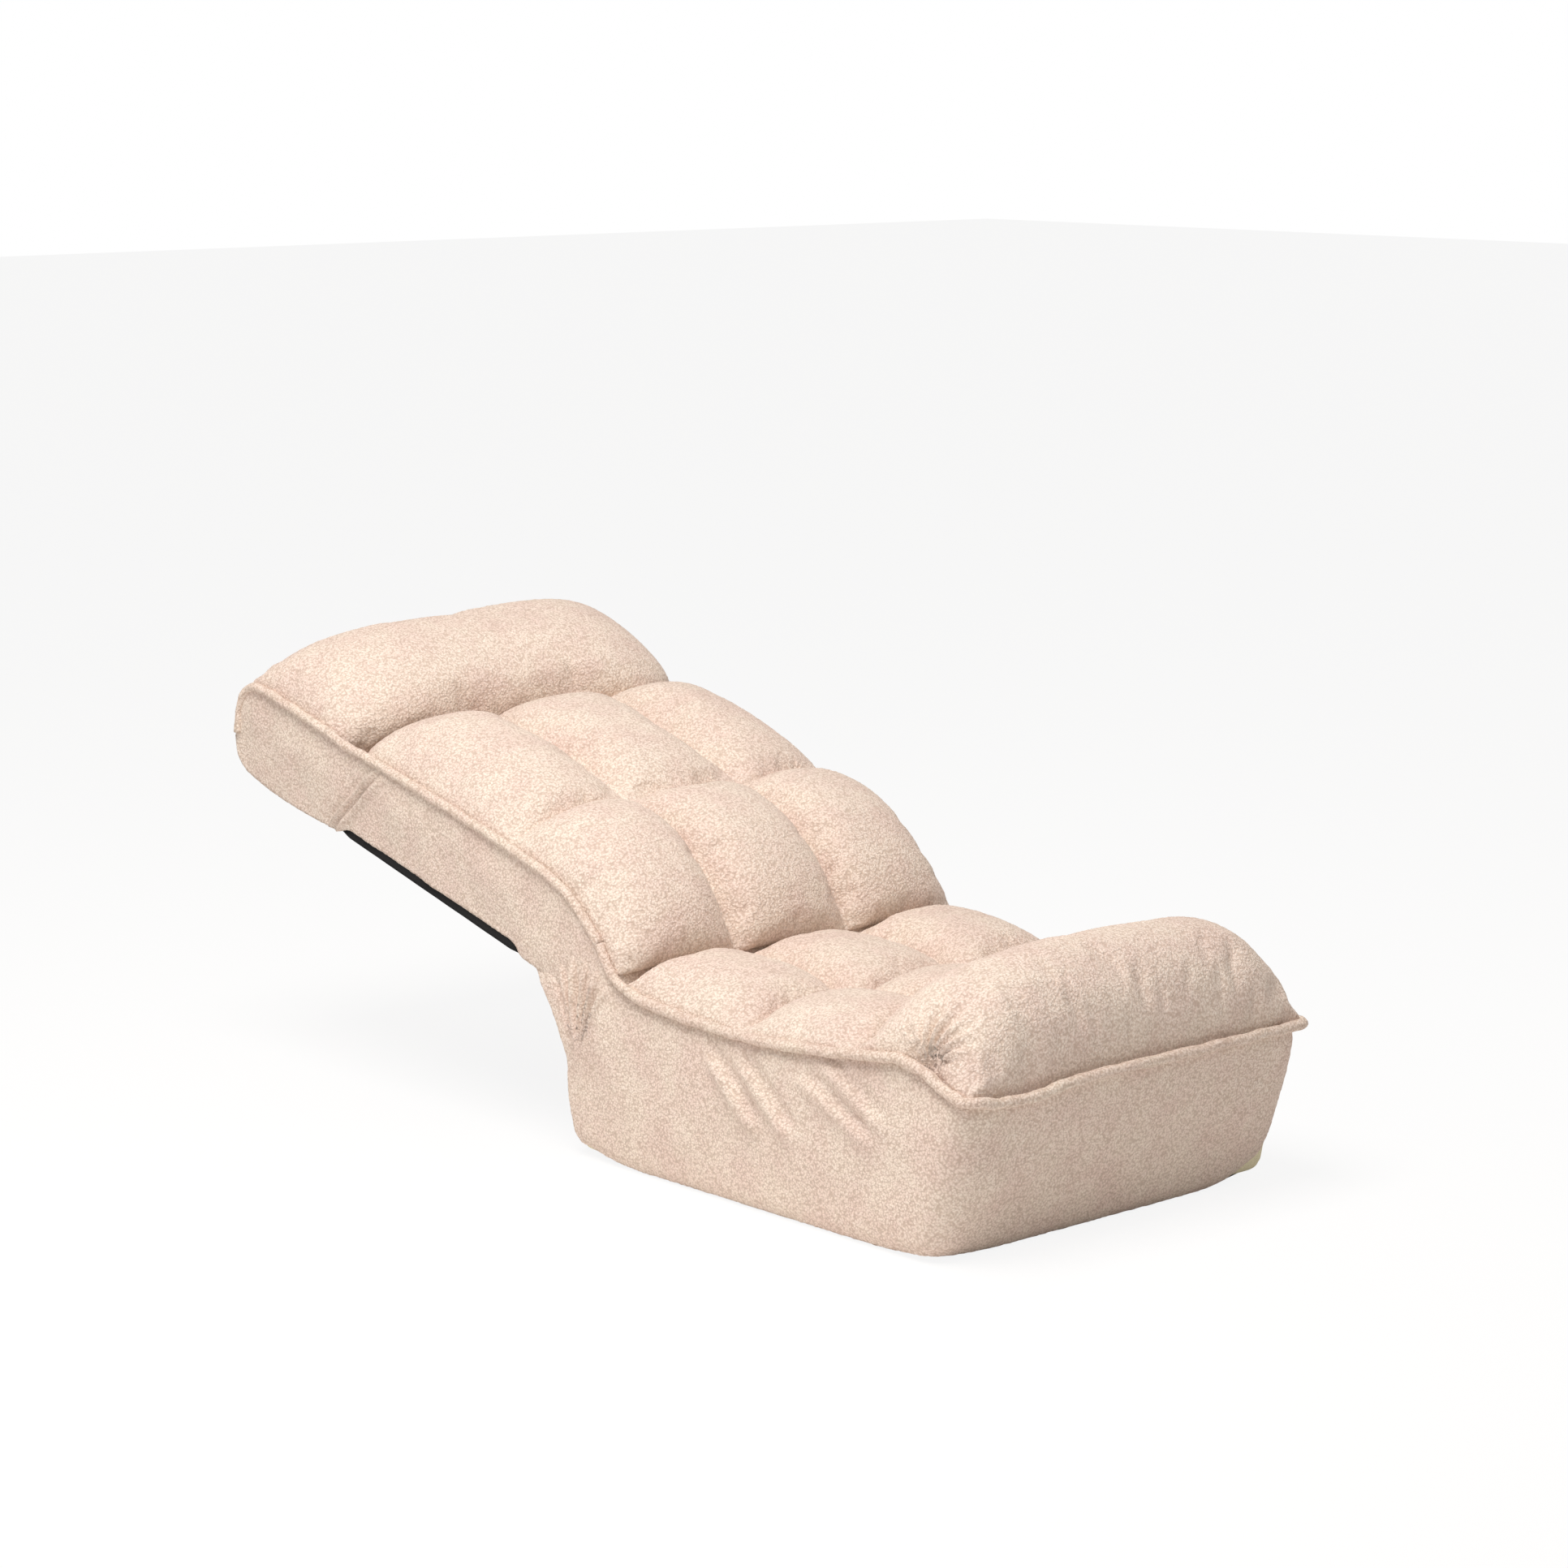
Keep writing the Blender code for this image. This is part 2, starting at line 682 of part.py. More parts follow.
def fan_sheet(upper, lower, folds, fold_height, cells):
    """A side sheet on +X between two lines in the Y-Z plane, gathered in folds that fade at both."""
    shape = bmesh.new()
    grid = {}
    for i in range(cells[0] + 1):
        share = i / cells[0]
        top = Vector(upper[0]).lerp(Vector(upper[1]), share)
        foot = Vector(lower[0]).lerp(Vector(lower[1]), share)
        for j in range(cells[1] + 1):
            down = j / cells[1]
            place = top.lerp(foot, down)
            fold = 0.5 - 0.5 * math.cos(2 * math.pi * folds * share)
            out = fold_height * fold * math.sin(math.pi * min(down * 1.15, 1))
            grid[i, j] = shape.verts.new((HALF + CLEAR + GUSSET + out, place.x, place.y))
    for i in range(cells[0]):
        for j in range(cells[1]):
            shape.faces.new((grid[i, j], grid[i + 1, j], grid[i + 1, j + 1], grid[i, j + 1]))
    bmesh.ops.recalc_face_normals(shape, faces=shape.faces)
    if sum(face.normal.x for face in shape.faces) < 0:
        bmesh.ops.reverse_faces(shape, faces=shape.faces)
    mesh = bpy.data.meshes.new("fan")
    shape.to_mesh(mesh)
    shape.free()
    obj = bpy.data.objects.new("fan", mesh)
    bpy.context.scene.collection.objects.link(obj)
    shell = obj.modifiers.new("cloth", "SOLIDIFY")
    shell.thickness = GUSSET
    shell.offset = -1
    return as_mesh(obj)


def mirrored(obj, side):
    """Turns a piece made on +X over to the given side."""
    if side < 0:
        obj.data.transform(Matrix.Scale(-1, 4, (1, 0, 0)))
        obj.data.flip_normals()
    return obj


def side_gusset(name, side, upper, lower, folds, fold_height, cord, frame=None):
    """A gathered sheet over the side of a hinge, with the short piece of piping sewn along its top."""
    sheet = mirrored(fan_sheet(upper, lower, folds, fold_height, (6 * folds, 4)), side)
    edge = mirrored(as_mesh(tube([(PIPING_X, y, z) for y, z in cord], PIPING_R)), side)
    body = finish(sheet, name, "teddy_fleece", frame)
    return combine(body, [edge], "UNION")


SIDES = (("left", -1), ("right", 1))


def build_seat_quilting(floor):
    """The tufted pad behind the seam at the bolster's foot, and the bolster in front of it."""
    front = BASE_FRONT_TOP[0]
    seam = BOLSTER_REAR + CLEAR
    rear = HINGE_Y - LINING_R - GUSSET - CLEAR
    lie = FRONT_HEIGHT + 0.009
    seat_line = smooth(
        (
            (seam, lie + 0.008),
            (seam + 0.084, lie + 0.001),
            ((seam + rear) / 2, lie),
            (rear - 0.075, lie + 0.002),
            (rear - 0.025, lie + 0.008),
            (rear, lie + 0.019),
        ),
        4,
    )
    pattern = (SEAT_ROWS, SEAT_CROWNS, COLUMNS, (TUFT_CELLS, TUFT_CELLS))
    pad = quilt("seat_pad", [tuple(p) for p in seat_line], pattern, 0, (floor, seam, rear))
    disc = HINGE_Z + 0.001
    combine(pad, hub_slots((SEAT_RAIL_REAR, floor - 0.01), (HINGE_Y, disc)), "DIFFERENCE")
    bolster_line = smooth(
        (
            (front + 0.0035, FRONT_HEIGHT + 0.006),
            (front + 0.0010, FRONT_HEIGHT + 0.018),
            (front + 0.0210, FRONT_HEIGHT + 0.031),
            (front + 0.0760, FRONT_HEIGHT + 0.036),
            (BOLSTER_REAR - 0.0555, FRONT_HEIGHT + 0.033),
            (BOLSTER_REAR - CLEAR, FRONT_HEIGHT + 0.017),
        ),
        4,
    )
    pattern = ((0, 1), (BOLSTER_CROWN,), 1, ROLL_CELLS)
    ends = (floor, front + 0.0038, BOLSTER_REAR - CLEAR)
    quilt("front_bolster", [tuple(p) for p in bolster_line], pattern, 0, ends)


def build_base():
    walls = base_walls()
    front = [walls[0]] + FRONT_CORNER
    rear = REAR_CORNER + [BASE_REAR_TOP]
    front.append((front[-1][0] + FLEECE, 0))
    rear.insert(0, (rear[0][0] - FLEECE, 0))
    floor_line = [(front[-1][0] + CLEAR, 0), (rear[0][0] - CLEAR, 0)]
    panels = (("base_front_panel", front), ("base_bottom_cloth", floor_line), ("base_rear_panel", rear))
    for name, line in panels:
        look = "nonslip_cloth" if "bottom" in name else "teddy_fleece"
        finish(strip(line, FLEECE, FILL_X), name, look)

    top_line = under_piping(SEAT_PIPING_LINE, 2)
    lip = hinge_gap(AXIS_TO_UNDERSIDE + 0.0015, 180, 270)
    outline = walls[:-1] + [BASE_REAR_TOP, (HINGE_Y, REAR_HEIGHT)] + lip[::-1][1:]
    outline += [(y, z) for y, z in top_line[:-1]]
    for word, side in SIDES:
        obj = plate(outline, FLEECE, side * (HALF - FLEECE / 2))
        finish(obj, f"base_side_panel_{word}", "teddy_fleece")

    lining = FLEECE + CLEAR
    inner = inset(walls, lining)
    ceiling = SEAT_RAIL_Z + FOAM_TOP
    start = Vector(inner[0])
    down = Vector(inner[1]) - start
    start += down * ((start.y - ceiling) / -down.y)
    lip = hinge_gap(AXIS_TO_UNDERSIDE + 0.0015, 205, 270)
    rear_low = REAR_HEIGHT - CLEAR
    foam_line = [tuple(start)] + inner[1:-1] + [(inner[-1][0], rear_low), (HINGE_Y, rear_low)]
    foam_line += [(y, min(z, ceiling)) for y, z in lip[::-1][1:]]
    foam_line.append((lip[0][0], ceiling))
    foam = as_mesh(plate(foam_line, 2 * FILL_X, 0))
    finish(foam, "base_foam", "foam")
    slots = foam_slots(SEAT_RAIL_FRONT - CLEAR, 0.30, [SEAT_CROSSBAR], SEAT_RAIL_Z, SLOT, 0.25)
    combine(foam, slots, "DIFFERENCE")

    for word, side in SIDES:
        rail(f"seat_rail_{word}", side * RAIL_X, SEAT_RAIL_FRONT, SEAT_RAIL_REAR, SEAT_RAIL_Z)
    crossbar("seat_crossbar", SEAT_CROSSBAR, SEAT_RAIL_Z)
    for word, share in zip(("front", "rear"), SEAT_STRAPS):
        webbing(f"seat_webbing_{word}", share * BASE_LENGTH, SEAT_RAIL_Z)

    build_seat_quilting(SEAT_RAIL_Z + PAD_FLOOR)
    lining = hinge_gap(LINING_R + GUSSET, *LINING_SPAN) + hinge_gap(LINING_R, *LINING_SPAN)[::-1]
    finish(plate(lining, 2 * FILL_X, 0), "crease_lining", "teddy_fleece")

    line = smooth(SEAT_PIPING_LINE, 3)
    side_run = [(-PIPING_X, p.x, p.y) for p in line[:-3]]
    front_y = BASE_FRONT_TOP[0] - PIPING_OUT
    corner = arc((-PIPING_X + PIPING_BEND, front_y + PIPING_BEND), PIPING_BEND, math.pi, 1.5 * math.pi, 3)
    run = side_run + [(x, y, FRONT_HEIGHT) for x, y in corner]
    run += [(-x, y, z) for x, y, z in reversed(run)]
    piping("seat_piping", run)


def section_side(name, side, outline, frame):
    obj = plate(outline, FLEECE, side * (HALF - FLEECE / 2))
    return finish(obj, name, "teddy_fleece", frame)


def build_back(frame):
    under = -AXIS_TO_UNDERSIDE
    end = HEAD_HINGE - beside_notch(0)
    top_line = under_piping(BACK_PIPING_LINE, 2)
    top_line[-1] = (HEAD_HINGE - beside_notch(top_line[-1][1]), top_line[-1][1])
    disc = arc((0, 0), AXIS_TO_UNDERSIDE, math.radians(180), math.radians(270), 6)
    hem = [(k / 8, under + HEM_RISE * math.sin(math.pi * k / 8)) for k in range(9)]
    hem = [(HEM_START + (end - HEM_START) * share, z) for share, z in hem]
    outline = disc + hem + [(end, 0)] + list(reversed(top_line)) + [(0.006, 0.031), (-0.020, 0.008)]
    for word, side in SIDES:
        section_side(f"back_side_panel_{word}", side, outline, frame)
    outer = [(-FILL_X, under + FLANGE), (-FILL_X, under), (FILL_X, under), (FILL_X, under + FLANGE)]
    inner_x = FILL_X - CLOTH
    face = under + CLOTH
    inner = [(inner_x, under + FLANGE), (inner_x, face), (-inner_x, face), (-inner_x, under + FLANGE)]
    obj = plate(outer + inner, end - HEM_START, 0)
    obj.rotation_euler = (math.pi / 2, 0, 0)
    obj.location = (0, (end + HEM_START) / 2, 0)
    finish(obj, "back_underside_cloth", "black_nonwoven", frame)

    bottom = under + CLOTH + CLEAR
    disc = arc((0, 0), -bottom, math.radians(165), math.radians(270), 6)
    foam_line = disc + [(end, bottom), (end, 0), (HEAD_HINGE - beside_notch(FOAM_TOP), FOAM_TOP)]
    foam_line.append((disc[0][0], FOAM_TOP))
    foam = as_mesh(plate(foam_line, 2 * (inner_x - CLEAR), 0))
    finish(foam, "back_foam", "foam", frame)
    slots = foam_slots(0.030, HEAD_HINGE + 0.01, BACK_CROSSBARS, 0, SLOT, 0.05)
    for side in (-1, 1):
        x = side * RAIL_X
        slots.append(box((x - SLOT, -0.05, -0.05), (x + SLOT, 0.0302, 0.05)))
    combine(foam, slots + head_hub_slots(HEAD_HINGE), "DIFFERENCE")

    for word, side in SIDES:
        rail(f"back_rail_{word}", side * RAIL_X, RECLINE_HUB, HEAD_HINGE - HEAD_HOUSING, 0, frame)
    for word, y in zip(("lower", "upper"), BACK_CROSSBARS):
        crossbar(f"back_crossbar_{word}", y, 0, frame)
    for word, y in zip(("lower", "upper"), BACK_STRAPS):
        webbing(f"back_webbing_{word}", y, 0, frame)

    pad_line = (
        (-0.0020, TOP - 0.0530),
        (0.0120, TOP - 0.0365),
        (0.0378, TOP - 0.0190),
        (0.0758, TOP - 0.0040),
        (0.1185, TOP + 0.0040),
        (0.2234, TOP + 0.0060),
        (HEAD_HINGE - 0.186, TOP + 0.0040),
        (HEAD_HINGE - 0.091, TOP),
        (HEAD_HINGE - 0.053, TOP - 0.0060),
        (HEAD_HINGE - 0.032, TOP - 0.0210),
        (HEAD_HINGE - beside_notch(TOP - NOTCH_DEPTH), TOP - NOTCH_DEPTH),
    )
    line = [tuple(p) for p in smooth(pad_line, 3)]
    pattern = (BACK_ROWS, BACK_CROWNS, COLUMNS, (TUFT_CELLS, TUFT_CELLS))
    ends = (PAD_FLOOR, RECLINE_HUB - 0.001, HEAD_HINGE - beside_notch(PAD_FLOOR))
    pad = quilt("back_pad", line, pattern, BACK_SWELL, ends, frame)
    combine(pad, head_hub_slots(HEAD_HINGE), "DIFFERENCE")
    for word, side in SIDES:
        points = [(side * PIPING_X, p.x, p.y) for p in smooth(BACK_PIPING_LINE, 3)]
        piping(f"back_piping_{word}", points, frame)


def build_head(frame):
    under = -AXIS_TO_UNDERSIDE
    end = HEAD_LENGTH
    start = beside_notch(0)
    edge = TOP - HEAD_EDGE_DROP
    near = HEAD_HINGE - BACK_PIPING_LINE[-1][0]
    pipe_top = [(near, TOP), (0.150, TOP), (end - 0.032, TOP - 0.002), (end, edge)]
    corner = fillet((start, under), (end, under), (end, edge), HEAD_CORNER, 6)
    walls = [(start, under)]
    for k in range(1, 5):
        share = k / 5
        walls.append((start + (corner[0][0] - start) * share, under - HEAD_SAG * math.sin(math.pi * share)))
    walls += corner
    for k in range(1, 6):
        share = k / 5
        height = corner[-1][1] + (edge - PANEL_DROP - 3 * CLEAR - corner[-1][1]) * share
        walls.append((end + HEAD_SAG * math.sin(math.pi * share), height))
    top_line = under_piping(pipe_top, 3)[:-3]
    top_line[0] = (beside_notch(top_line[0][1]), top_line[0][1])
    outline = walls + list(reversed(top_line)) + [(start, 0)]
    for word, side in SIDES:
        section_side(f"head_side_panel_{word}", side, outline, frame)
    finish(strip(walls, FLEECE, FILL_X), "head_end_panel", "teddy_fleece", frame)

    inner = inset(walls, FLEECE + CLEAR)
    foam_line = [(y, z) for y, z in inner if z < FOAM_TOP]
    foam_line += [(foam_line[-1][0], FOAM_TOP), (beside_notch(FOAM_TOP), FOAM_TOP), (start, 0)]
    foam = as_mesh(plate(foam_line, 2 * FILL_X, 0))
    finish(foam, "head_foam", "foam", frame)
    slots = foam_slots(-0.02, HEAD_RAIL_END + CLEAR, [HEAD_CROSSBAR], 0, SLOT, 0.05)
    combine(foam, slots + head_hub_slots(0), "DIFFERENCE")

    for word, side in SIDES:
        rail(f"head_rail_{word}", side * RAIL_X, HEAD_HUB, HEAD_RAIL_END, 0, frame)
    crossbar("head_crossbar", HEAD_CROSSBAR, 0, frame)

    foot = (beside_notch(TOP - NOTCH_DEPTH), TOP - NOTCH_DEPTH)
    roll_line = [foot] + [(along * HEAD_LENGTH, height * TOP) for along, height in HEAD_ROLL_LINE]
    line = [tuple(p) for p in smooth(roll_line, 4)]
    pattern = ((0, 1), (HEAD_CROWN,), 1, ROLL_CELLS)
    ends = (PAD_FLOOR, beside_notch(PAD_FLOOR), end - FLEECE - CLEAR)
    roll = quilt("head_roll", line, pattern, 0, ends, frame)
    combine(roll, head_hub_slots(0), "DIFFERENCE")
    side_run = [(-PIPING_X, p.x, p.y) for p in smooth(pipe_top, 3)[:-1]]
    turn = arc(
        (-PIPING_X + PIPING_BEND, end + PIPING_OUT - PIPING_BEND), PIPING_BEND, math.pi, math.pi / 2, 3
    )
    run = side_run[:-1] + [(x, y, edge) for x, y in turn]
    run += [(-x, y, z) for x, y, z in reversed(run)]
    piping("head_piping", run, frame)


def build_hinges(back, head):
    """The recline hinges between base and back, and the smaller ones between back and head."""
    seat_pivot = (HINGE_Y, HINGE_Z)
    drop = HINGE_Z - SEAT_RAIL_Z
    seat_pin = (HINGE_Y + RECLINE_PIN[0], HINGE_Z + RECLINE_PIN[1])
    head_pivot = (HEAD_HINGE, 0.0)
    head_pin = (HEAD_HINGE + HEAD_PIN[0], HEAD_PIN[1])
    for word, side in SIDES:
        x = side * RAIL_X
        housing(f"recline_housing_{word}", x, seat_pivot, RECLINE_DISC_R, drop, SEAT_RAIL_REAR, seat_pin)
        toothed_arm(f"recline_arm_{word}", x, RECLINE_TIP_R, RECLINE_HUB, RECLINE_TEETH, back)
        pivot_rivet(f"recline_pivot_{word}", x, seat_pivot)
        pawl(f"recline_pawl_{word}", x, seat_pivot, seat_pin, RECLINE_TIP_R, 197, 7.5)
        pawl_spring(f"recline_pawl_spring_{word}", x, seat_pivot)
        rail_end = HEAD_HINGE - HEAD_HOUSING
        housing(f"head_housing_{word}", x, head_pivot, HEAD_DISC_R, 0, rail_end, head_pin, back)
        toothed_arm(f"head_arm_{word}", x, HEAD_TIP_R, HEAD_HUB, HEAD_TEETH, head)
        pivot_rivet(f"head_pivot_{word}", x, head_pivot, back)
        pawl(f"head_pawl_{word}", x, head_pivot, head_pin, HEAD_TIP_R, 160, 9.0, back)


def in_world(y, z):
    """A point of the back's own plane in the world's Y-Z plane."""
    cos = math.cos(BACK_ANGLE)
    sin = math.sin(BACK_ANGLE)
    return (HINGE_Y + y * cos - z * sin, HINGE_Z + y * sin + z * cos)


def build_gussets(back):
    """The gathered fabric over each hinge, which folds as the sections turn."""
    under_back = in_world(GUSSET_REACH, -AXIS_TO_UNDERSIDE + 0.004)
    foot = REAR_HEIGHT - GUSSET_DEPTH
    cord = [SEAT_PIPING_LINE[0], CREASE, in_world(*BACK_PIPING_LINE[0])]
    cord = [(p.x, p.y) for p in smooth(cord, 3)]
    tail = Vector(cord[0]) - Vector(cord[1])
    cord[0] = tuple(Vector(cord[0]) - tail.normalized() * (CLEAR + 0.001))
    lead = Vector(cord[-1]) - Vector(cord[-2])
    cord[-1] = tuple(Vector(cord[-1]) - lead.normalized() * (CLEAR + 0.001))
    for word, side in SIDES:
        side_gusset(
            f"hinge_gusset_{word}", side, ((CREASE[0] - 0.0015, CREASE[1] - 0.005), under_back),
            ((HINGE_Y - 0.012, foot + 0.032), (BASE_REAR_TOP[0] - 0.001, foot)), 4, GUSSET_FOLD, cord
        )
        top = TOP - PIPING_R - 4 * CLEAR
        low = 0.002 - AXIS_TO_UNDERSIDE
        start = BACK_PIPING_LINE[-1][0] + CLEAR + 0.001
        end = 2 * HEAD_HINGE - start
        side_gusset(
            f"head_gusset_{word}", side, ((start - 0.040, top), (end + 0.006, top)),
            ((HEAD_HINGE - 0.016, low), (HEAD_HINGE + 0.014, low)),
            2, GUSSET_FOLD, [(start, TOP), (HEAD_HINGE, TOP - 0.004), (end, TOP)], back
        )
    shoulder = BASE_REAR_TOP[0] + CLEAR
    hem = in_world(GUSSET_REACH, -AXIS_TO_UNDERSIDE - CLEAR)
    line = [hem, (shoulder + 0.029, REAR_HEIGHT - 0.0155), (shoulder + 0.001, foot)]
    finish(strip([(p.x, p.y) for p in smooth(line, 4)], GUSSET, HALF), "hinge_gusset_rear", "teddy_fleece")


def frame_at(name, location, tilt, parent=None):
    empty = bpy.data.objects.new(name, None)
    empty.empty_display_size = 0.05
    empty.location = location
    empty.rotation_euler = (tilt, 0, 0)
    empty.parent = parent
    groups["chair"].objects.link(empty)
    bpy.context.view_layer.update()
    return empty


def main():
    clear_scene()
    groups["chair"] = new_collection("Floor chair")
    groups["cutters"] = new_collection("Cutters")
    new_look("teddy_fleece", (0.82, 0.68, 0.58), 0.95)
    new_look("black_nonwoven", (0.012, 0.012, 0.012), 0.85)
    new_look("nonslip_cloth", (0.05, 0.05, 0.05), 0.8)
    new_look("foam", (0.85, 0.80, 0.62), 0.9)
    new_look("elastic_webbing", (0.10, 0.10, 0.10), 0.8)
    new_look("powder_coated_steel", (0.03, 0.03, 0.03), 0.45, 0.3)
    new_look("zinc_steel", (0.62, 0.62, 0.60), 0.35, 1.0)
    new_look("spring_steel", (0.35, 0.35, 0.36), 0.3, 1.0)
    back = frame_at("recline_axis", (0, HINGE_Y, HINGE_Z), BACK_ANGLE)
    head = frame_at("head_axis", (0, HEAD_HINGE, 0), 0, back)
    build_base()
    build_back(back)
    build_head(head)
    build_hinges(back, head)
    build_gussets(back)


main()
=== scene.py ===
import json
import math

import bpy
import numpy as np
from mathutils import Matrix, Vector


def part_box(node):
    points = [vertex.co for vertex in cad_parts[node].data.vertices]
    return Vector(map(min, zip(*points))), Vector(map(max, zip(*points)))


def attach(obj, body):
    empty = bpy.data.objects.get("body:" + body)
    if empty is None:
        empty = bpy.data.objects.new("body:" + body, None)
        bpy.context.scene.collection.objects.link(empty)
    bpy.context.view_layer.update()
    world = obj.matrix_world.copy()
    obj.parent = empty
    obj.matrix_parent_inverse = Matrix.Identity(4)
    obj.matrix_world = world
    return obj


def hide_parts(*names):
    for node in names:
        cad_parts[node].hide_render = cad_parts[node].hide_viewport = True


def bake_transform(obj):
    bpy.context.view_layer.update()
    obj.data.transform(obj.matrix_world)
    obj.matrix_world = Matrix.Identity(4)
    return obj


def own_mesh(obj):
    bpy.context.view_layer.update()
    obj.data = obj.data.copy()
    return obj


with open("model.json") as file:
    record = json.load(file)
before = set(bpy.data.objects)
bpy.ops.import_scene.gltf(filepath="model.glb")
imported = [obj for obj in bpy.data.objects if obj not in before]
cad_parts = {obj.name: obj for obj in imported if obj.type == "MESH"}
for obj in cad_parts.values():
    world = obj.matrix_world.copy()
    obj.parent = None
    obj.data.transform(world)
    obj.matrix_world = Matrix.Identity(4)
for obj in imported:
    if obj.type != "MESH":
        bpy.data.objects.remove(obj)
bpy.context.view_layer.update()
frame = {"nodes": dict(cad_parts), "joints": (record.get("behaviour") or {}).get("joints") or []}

# The two hinge axes, and how far and how steeply the head's lies from the back's. All sizes are in metres.
joints = {joint["name"]: joint for joint in frame["joints"]}
HINGE_Y, HINGE_Z = joints["back_recline"]["pos_m"][1:]
HEAD_Y, HEAD_Z = joints["head_tilt"]["pos_m"][1:]
HEAD_AT = math.hypot(HEAD_Y - HINGE_Y, HEAD_Z - HINGE_Z)
RISE = math.atan2(HEAD_Z - HINGE_Z, HEAD_Y - HINGE_Y)
# The base: half its width, the top and foot of its front and rear, and how round its front corners are
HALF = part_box("base_side_panel_right")[1].x
FRONT_TOP = HINGE_Z - 0.015
FRONT_TOP_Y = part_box("base_side_panel_left")[0].y
FRONT_FOOT_Y = FRONT_TOP_Y + 0.056
REAR_FOOT_Y = -FRONT_FOOT_Y
CORNER = 0.030
# The back and the head: their upper edge and underside, square to the line between the hinges
TOP = 0.089
UNDER = -0.031
HEAD_LENGTH = 0.232
# The piping's place and radius, and half the width of a cushion and of its foot
PIPE_X = HALF + 0.0025
PIPE_R = 0.0060
PAD_X = HALF - 0.001
FOOT_X = PAD_X - 0.004
# How thick the fleece is, round the base and at the sides of the back, its linings, and the thin cloths
FLEECE_WALL = 0.003
SIDE_WALL = 0.0028
LINING_WALL = 0.002
THIN_WALL = 0.0012
# How high the curls stand on the fleece and on its linings
NAP = 0.0016
LINING_NAP = 0.0008


# Modelling

def deselect():
    bpy.ops.object.select_all(action="DESELECT")


def focus(obj):
    deselect()
    obj.select_set(True)
    bpy.context.view_layer.objects.active = obj
    return obj


def points_of(obj):
    """The places of a mesh's points, one row each."""
    co = np.zeros(len(obj.data.vertices) * 3)
    obj.data.vertices.foreach_get("co", co)
    return co.reshape(-1, 3)


def move_points(obj, co):
    obj.data.vertices.foreach_set("co", np.asarray(co, float).ravel())
    obj.data.update()


def normals_of(obj):
    out = np.zeros(len(obj.data.vertices) * 3)
    obj.data.vertex_normals.foreach_get("vector", out)
    return out.reshape(-1, 3)


def cloth_grid(name, columns, rows):
    """A flat grid, with where each point lies across and along it from 0 to 1."""
    deselect()
    bpy.ops.mesh.primitive_grid_add(x_subdivisions=columns, y_subdivisions=rows, size=1, location=(0, 0, 0))
    obj = bpy.context.object
    obj.name = name
    obj.data.name = name
    flat = points_of(obj) + 0.5
    return obj, flat[:, 0], flat[:, 1]


def apply_all(obj):
    focus(obj)
    for modifier in list(obj.modifiers):
        bpy.ops.object.modifier_apply(modifier=modifier.name)


def add_subdivision(obj, levels=1):
    step = obj.modifiers.new("subdivision", "SUBSURF")
    step.levels = levels
    step.render_levels = levels


def cut_size(obj, across):
    """The size that a cover is cut to, its longest width and length, and its area, before it has a wall."""
    columns = int((np.diff(across) > 0).argmin()) + 1
    co = points_of(obj).reshape(-1, columns, 3)
    width = np.linalg.norm(np.diff(co, axis=1), axis=2).sum(1).max()
    length = np.linalg.norm(np.diff(co, axis=0), axis=2).sum(0).max()
    area = sum(face.area for face in obj.data.polygons)
    return {"flat": (float(width), float(length)), "area": area}


def add_wall(obj, thickness):
    step = obj.modifiers.new("wall", "SOLIDIFY")
    step.thickness = thickness
    step.offset = -1
    apply_all(obj)


def give_wall(obj, across, thickness, face=None):
    """Measures a cover's cut, turns it outwards, towards face where that is given, and adds its wall."""
    cut = cut_size(obj, across)
    outward(obj)
    if face is not None and (normals_of(obj) @ face).mean() < 0:
        focus(obj)
        bpy.ops.object.mode_set(mode="EDIT")
        bpy.ops.mesh.select_all(action="SELECT")
        bpy.ops.mesh.flip_normals()
        bpy.ops.object.mode_set(mode="OBJECT")
    add_wall(obj, thickness)
    return cut


def outward(obj):
    """Merges doubled points and turns every face outwards."""
    focus(obj)
    bpy.ops.object.mode_set(mode="EDIT")
    bpy.ops.mesh.select_all(action="SELECT")
    bpy.ops.mesh.remove_doubles(threshold=0.00005)
    bpy.ops.mesh.normals_make_consistent(inside=False)
    bpy.ops.object.mode_set(mode="OBJECT")


def close_under(obj, place):
    """Pulls the rim of a sheet down and closes it. place gives where each rim point goes."""
    count = len(obj.data.vertices)
    focus(obj)
    bpy.ops.object.mode_set(mode="EDIT")
    bpy.ops.mesh.select_all(action="SELECT")
    bpy.ops.mesh.region_to_loop()
    bpy.ops.mesh.extrude_edges_move()
    bpy.ops.object.mode_set(mode="OBJECT")
    co = points_of(obj)
    co[count:] = place(co[count:])
    move_points(obj, co)
    bpy.ops.object.mode_set(mode="EDIT")
    bpy.ops.mesh.edge_face_add()
    bpy.ops.object.mode_set(mode="OBJECT")
    outward(obj)


def smooth_line(knots, steps=14):
    """A Catmull-Rom curve through points."""
    knots = np.asarray(knots, float)
    knots = np.vstack([2 * knots[0] - knots[1], knots, 2 * knots[-1] - knots[-2]])
    made = []
    for a, b, c, d in zip(knots, knots[1:], knots[2:], knots[3:]):
        for t in np.arange(steps) / steps:
            bend = 2 * a - 5 * b + 4 * c - d
            made.append(0.5 * (2 * b + (c - a) * t + bend * t**2 + (3 * b - a - 3 * c + d) * t**3))
    made.append(knots[-2])
    return np.array(made)


def along(line, share):
    """The points at some shares of a line's length."""
    run = np.concatenate([[0], np.cumsum(np.linalg.norm(np.diff(line, axis=0), axis=1))])
    return np.stack([np.interp(share * run[-1], run, line[:, k]) for k in range(line.shape[1])], -1)


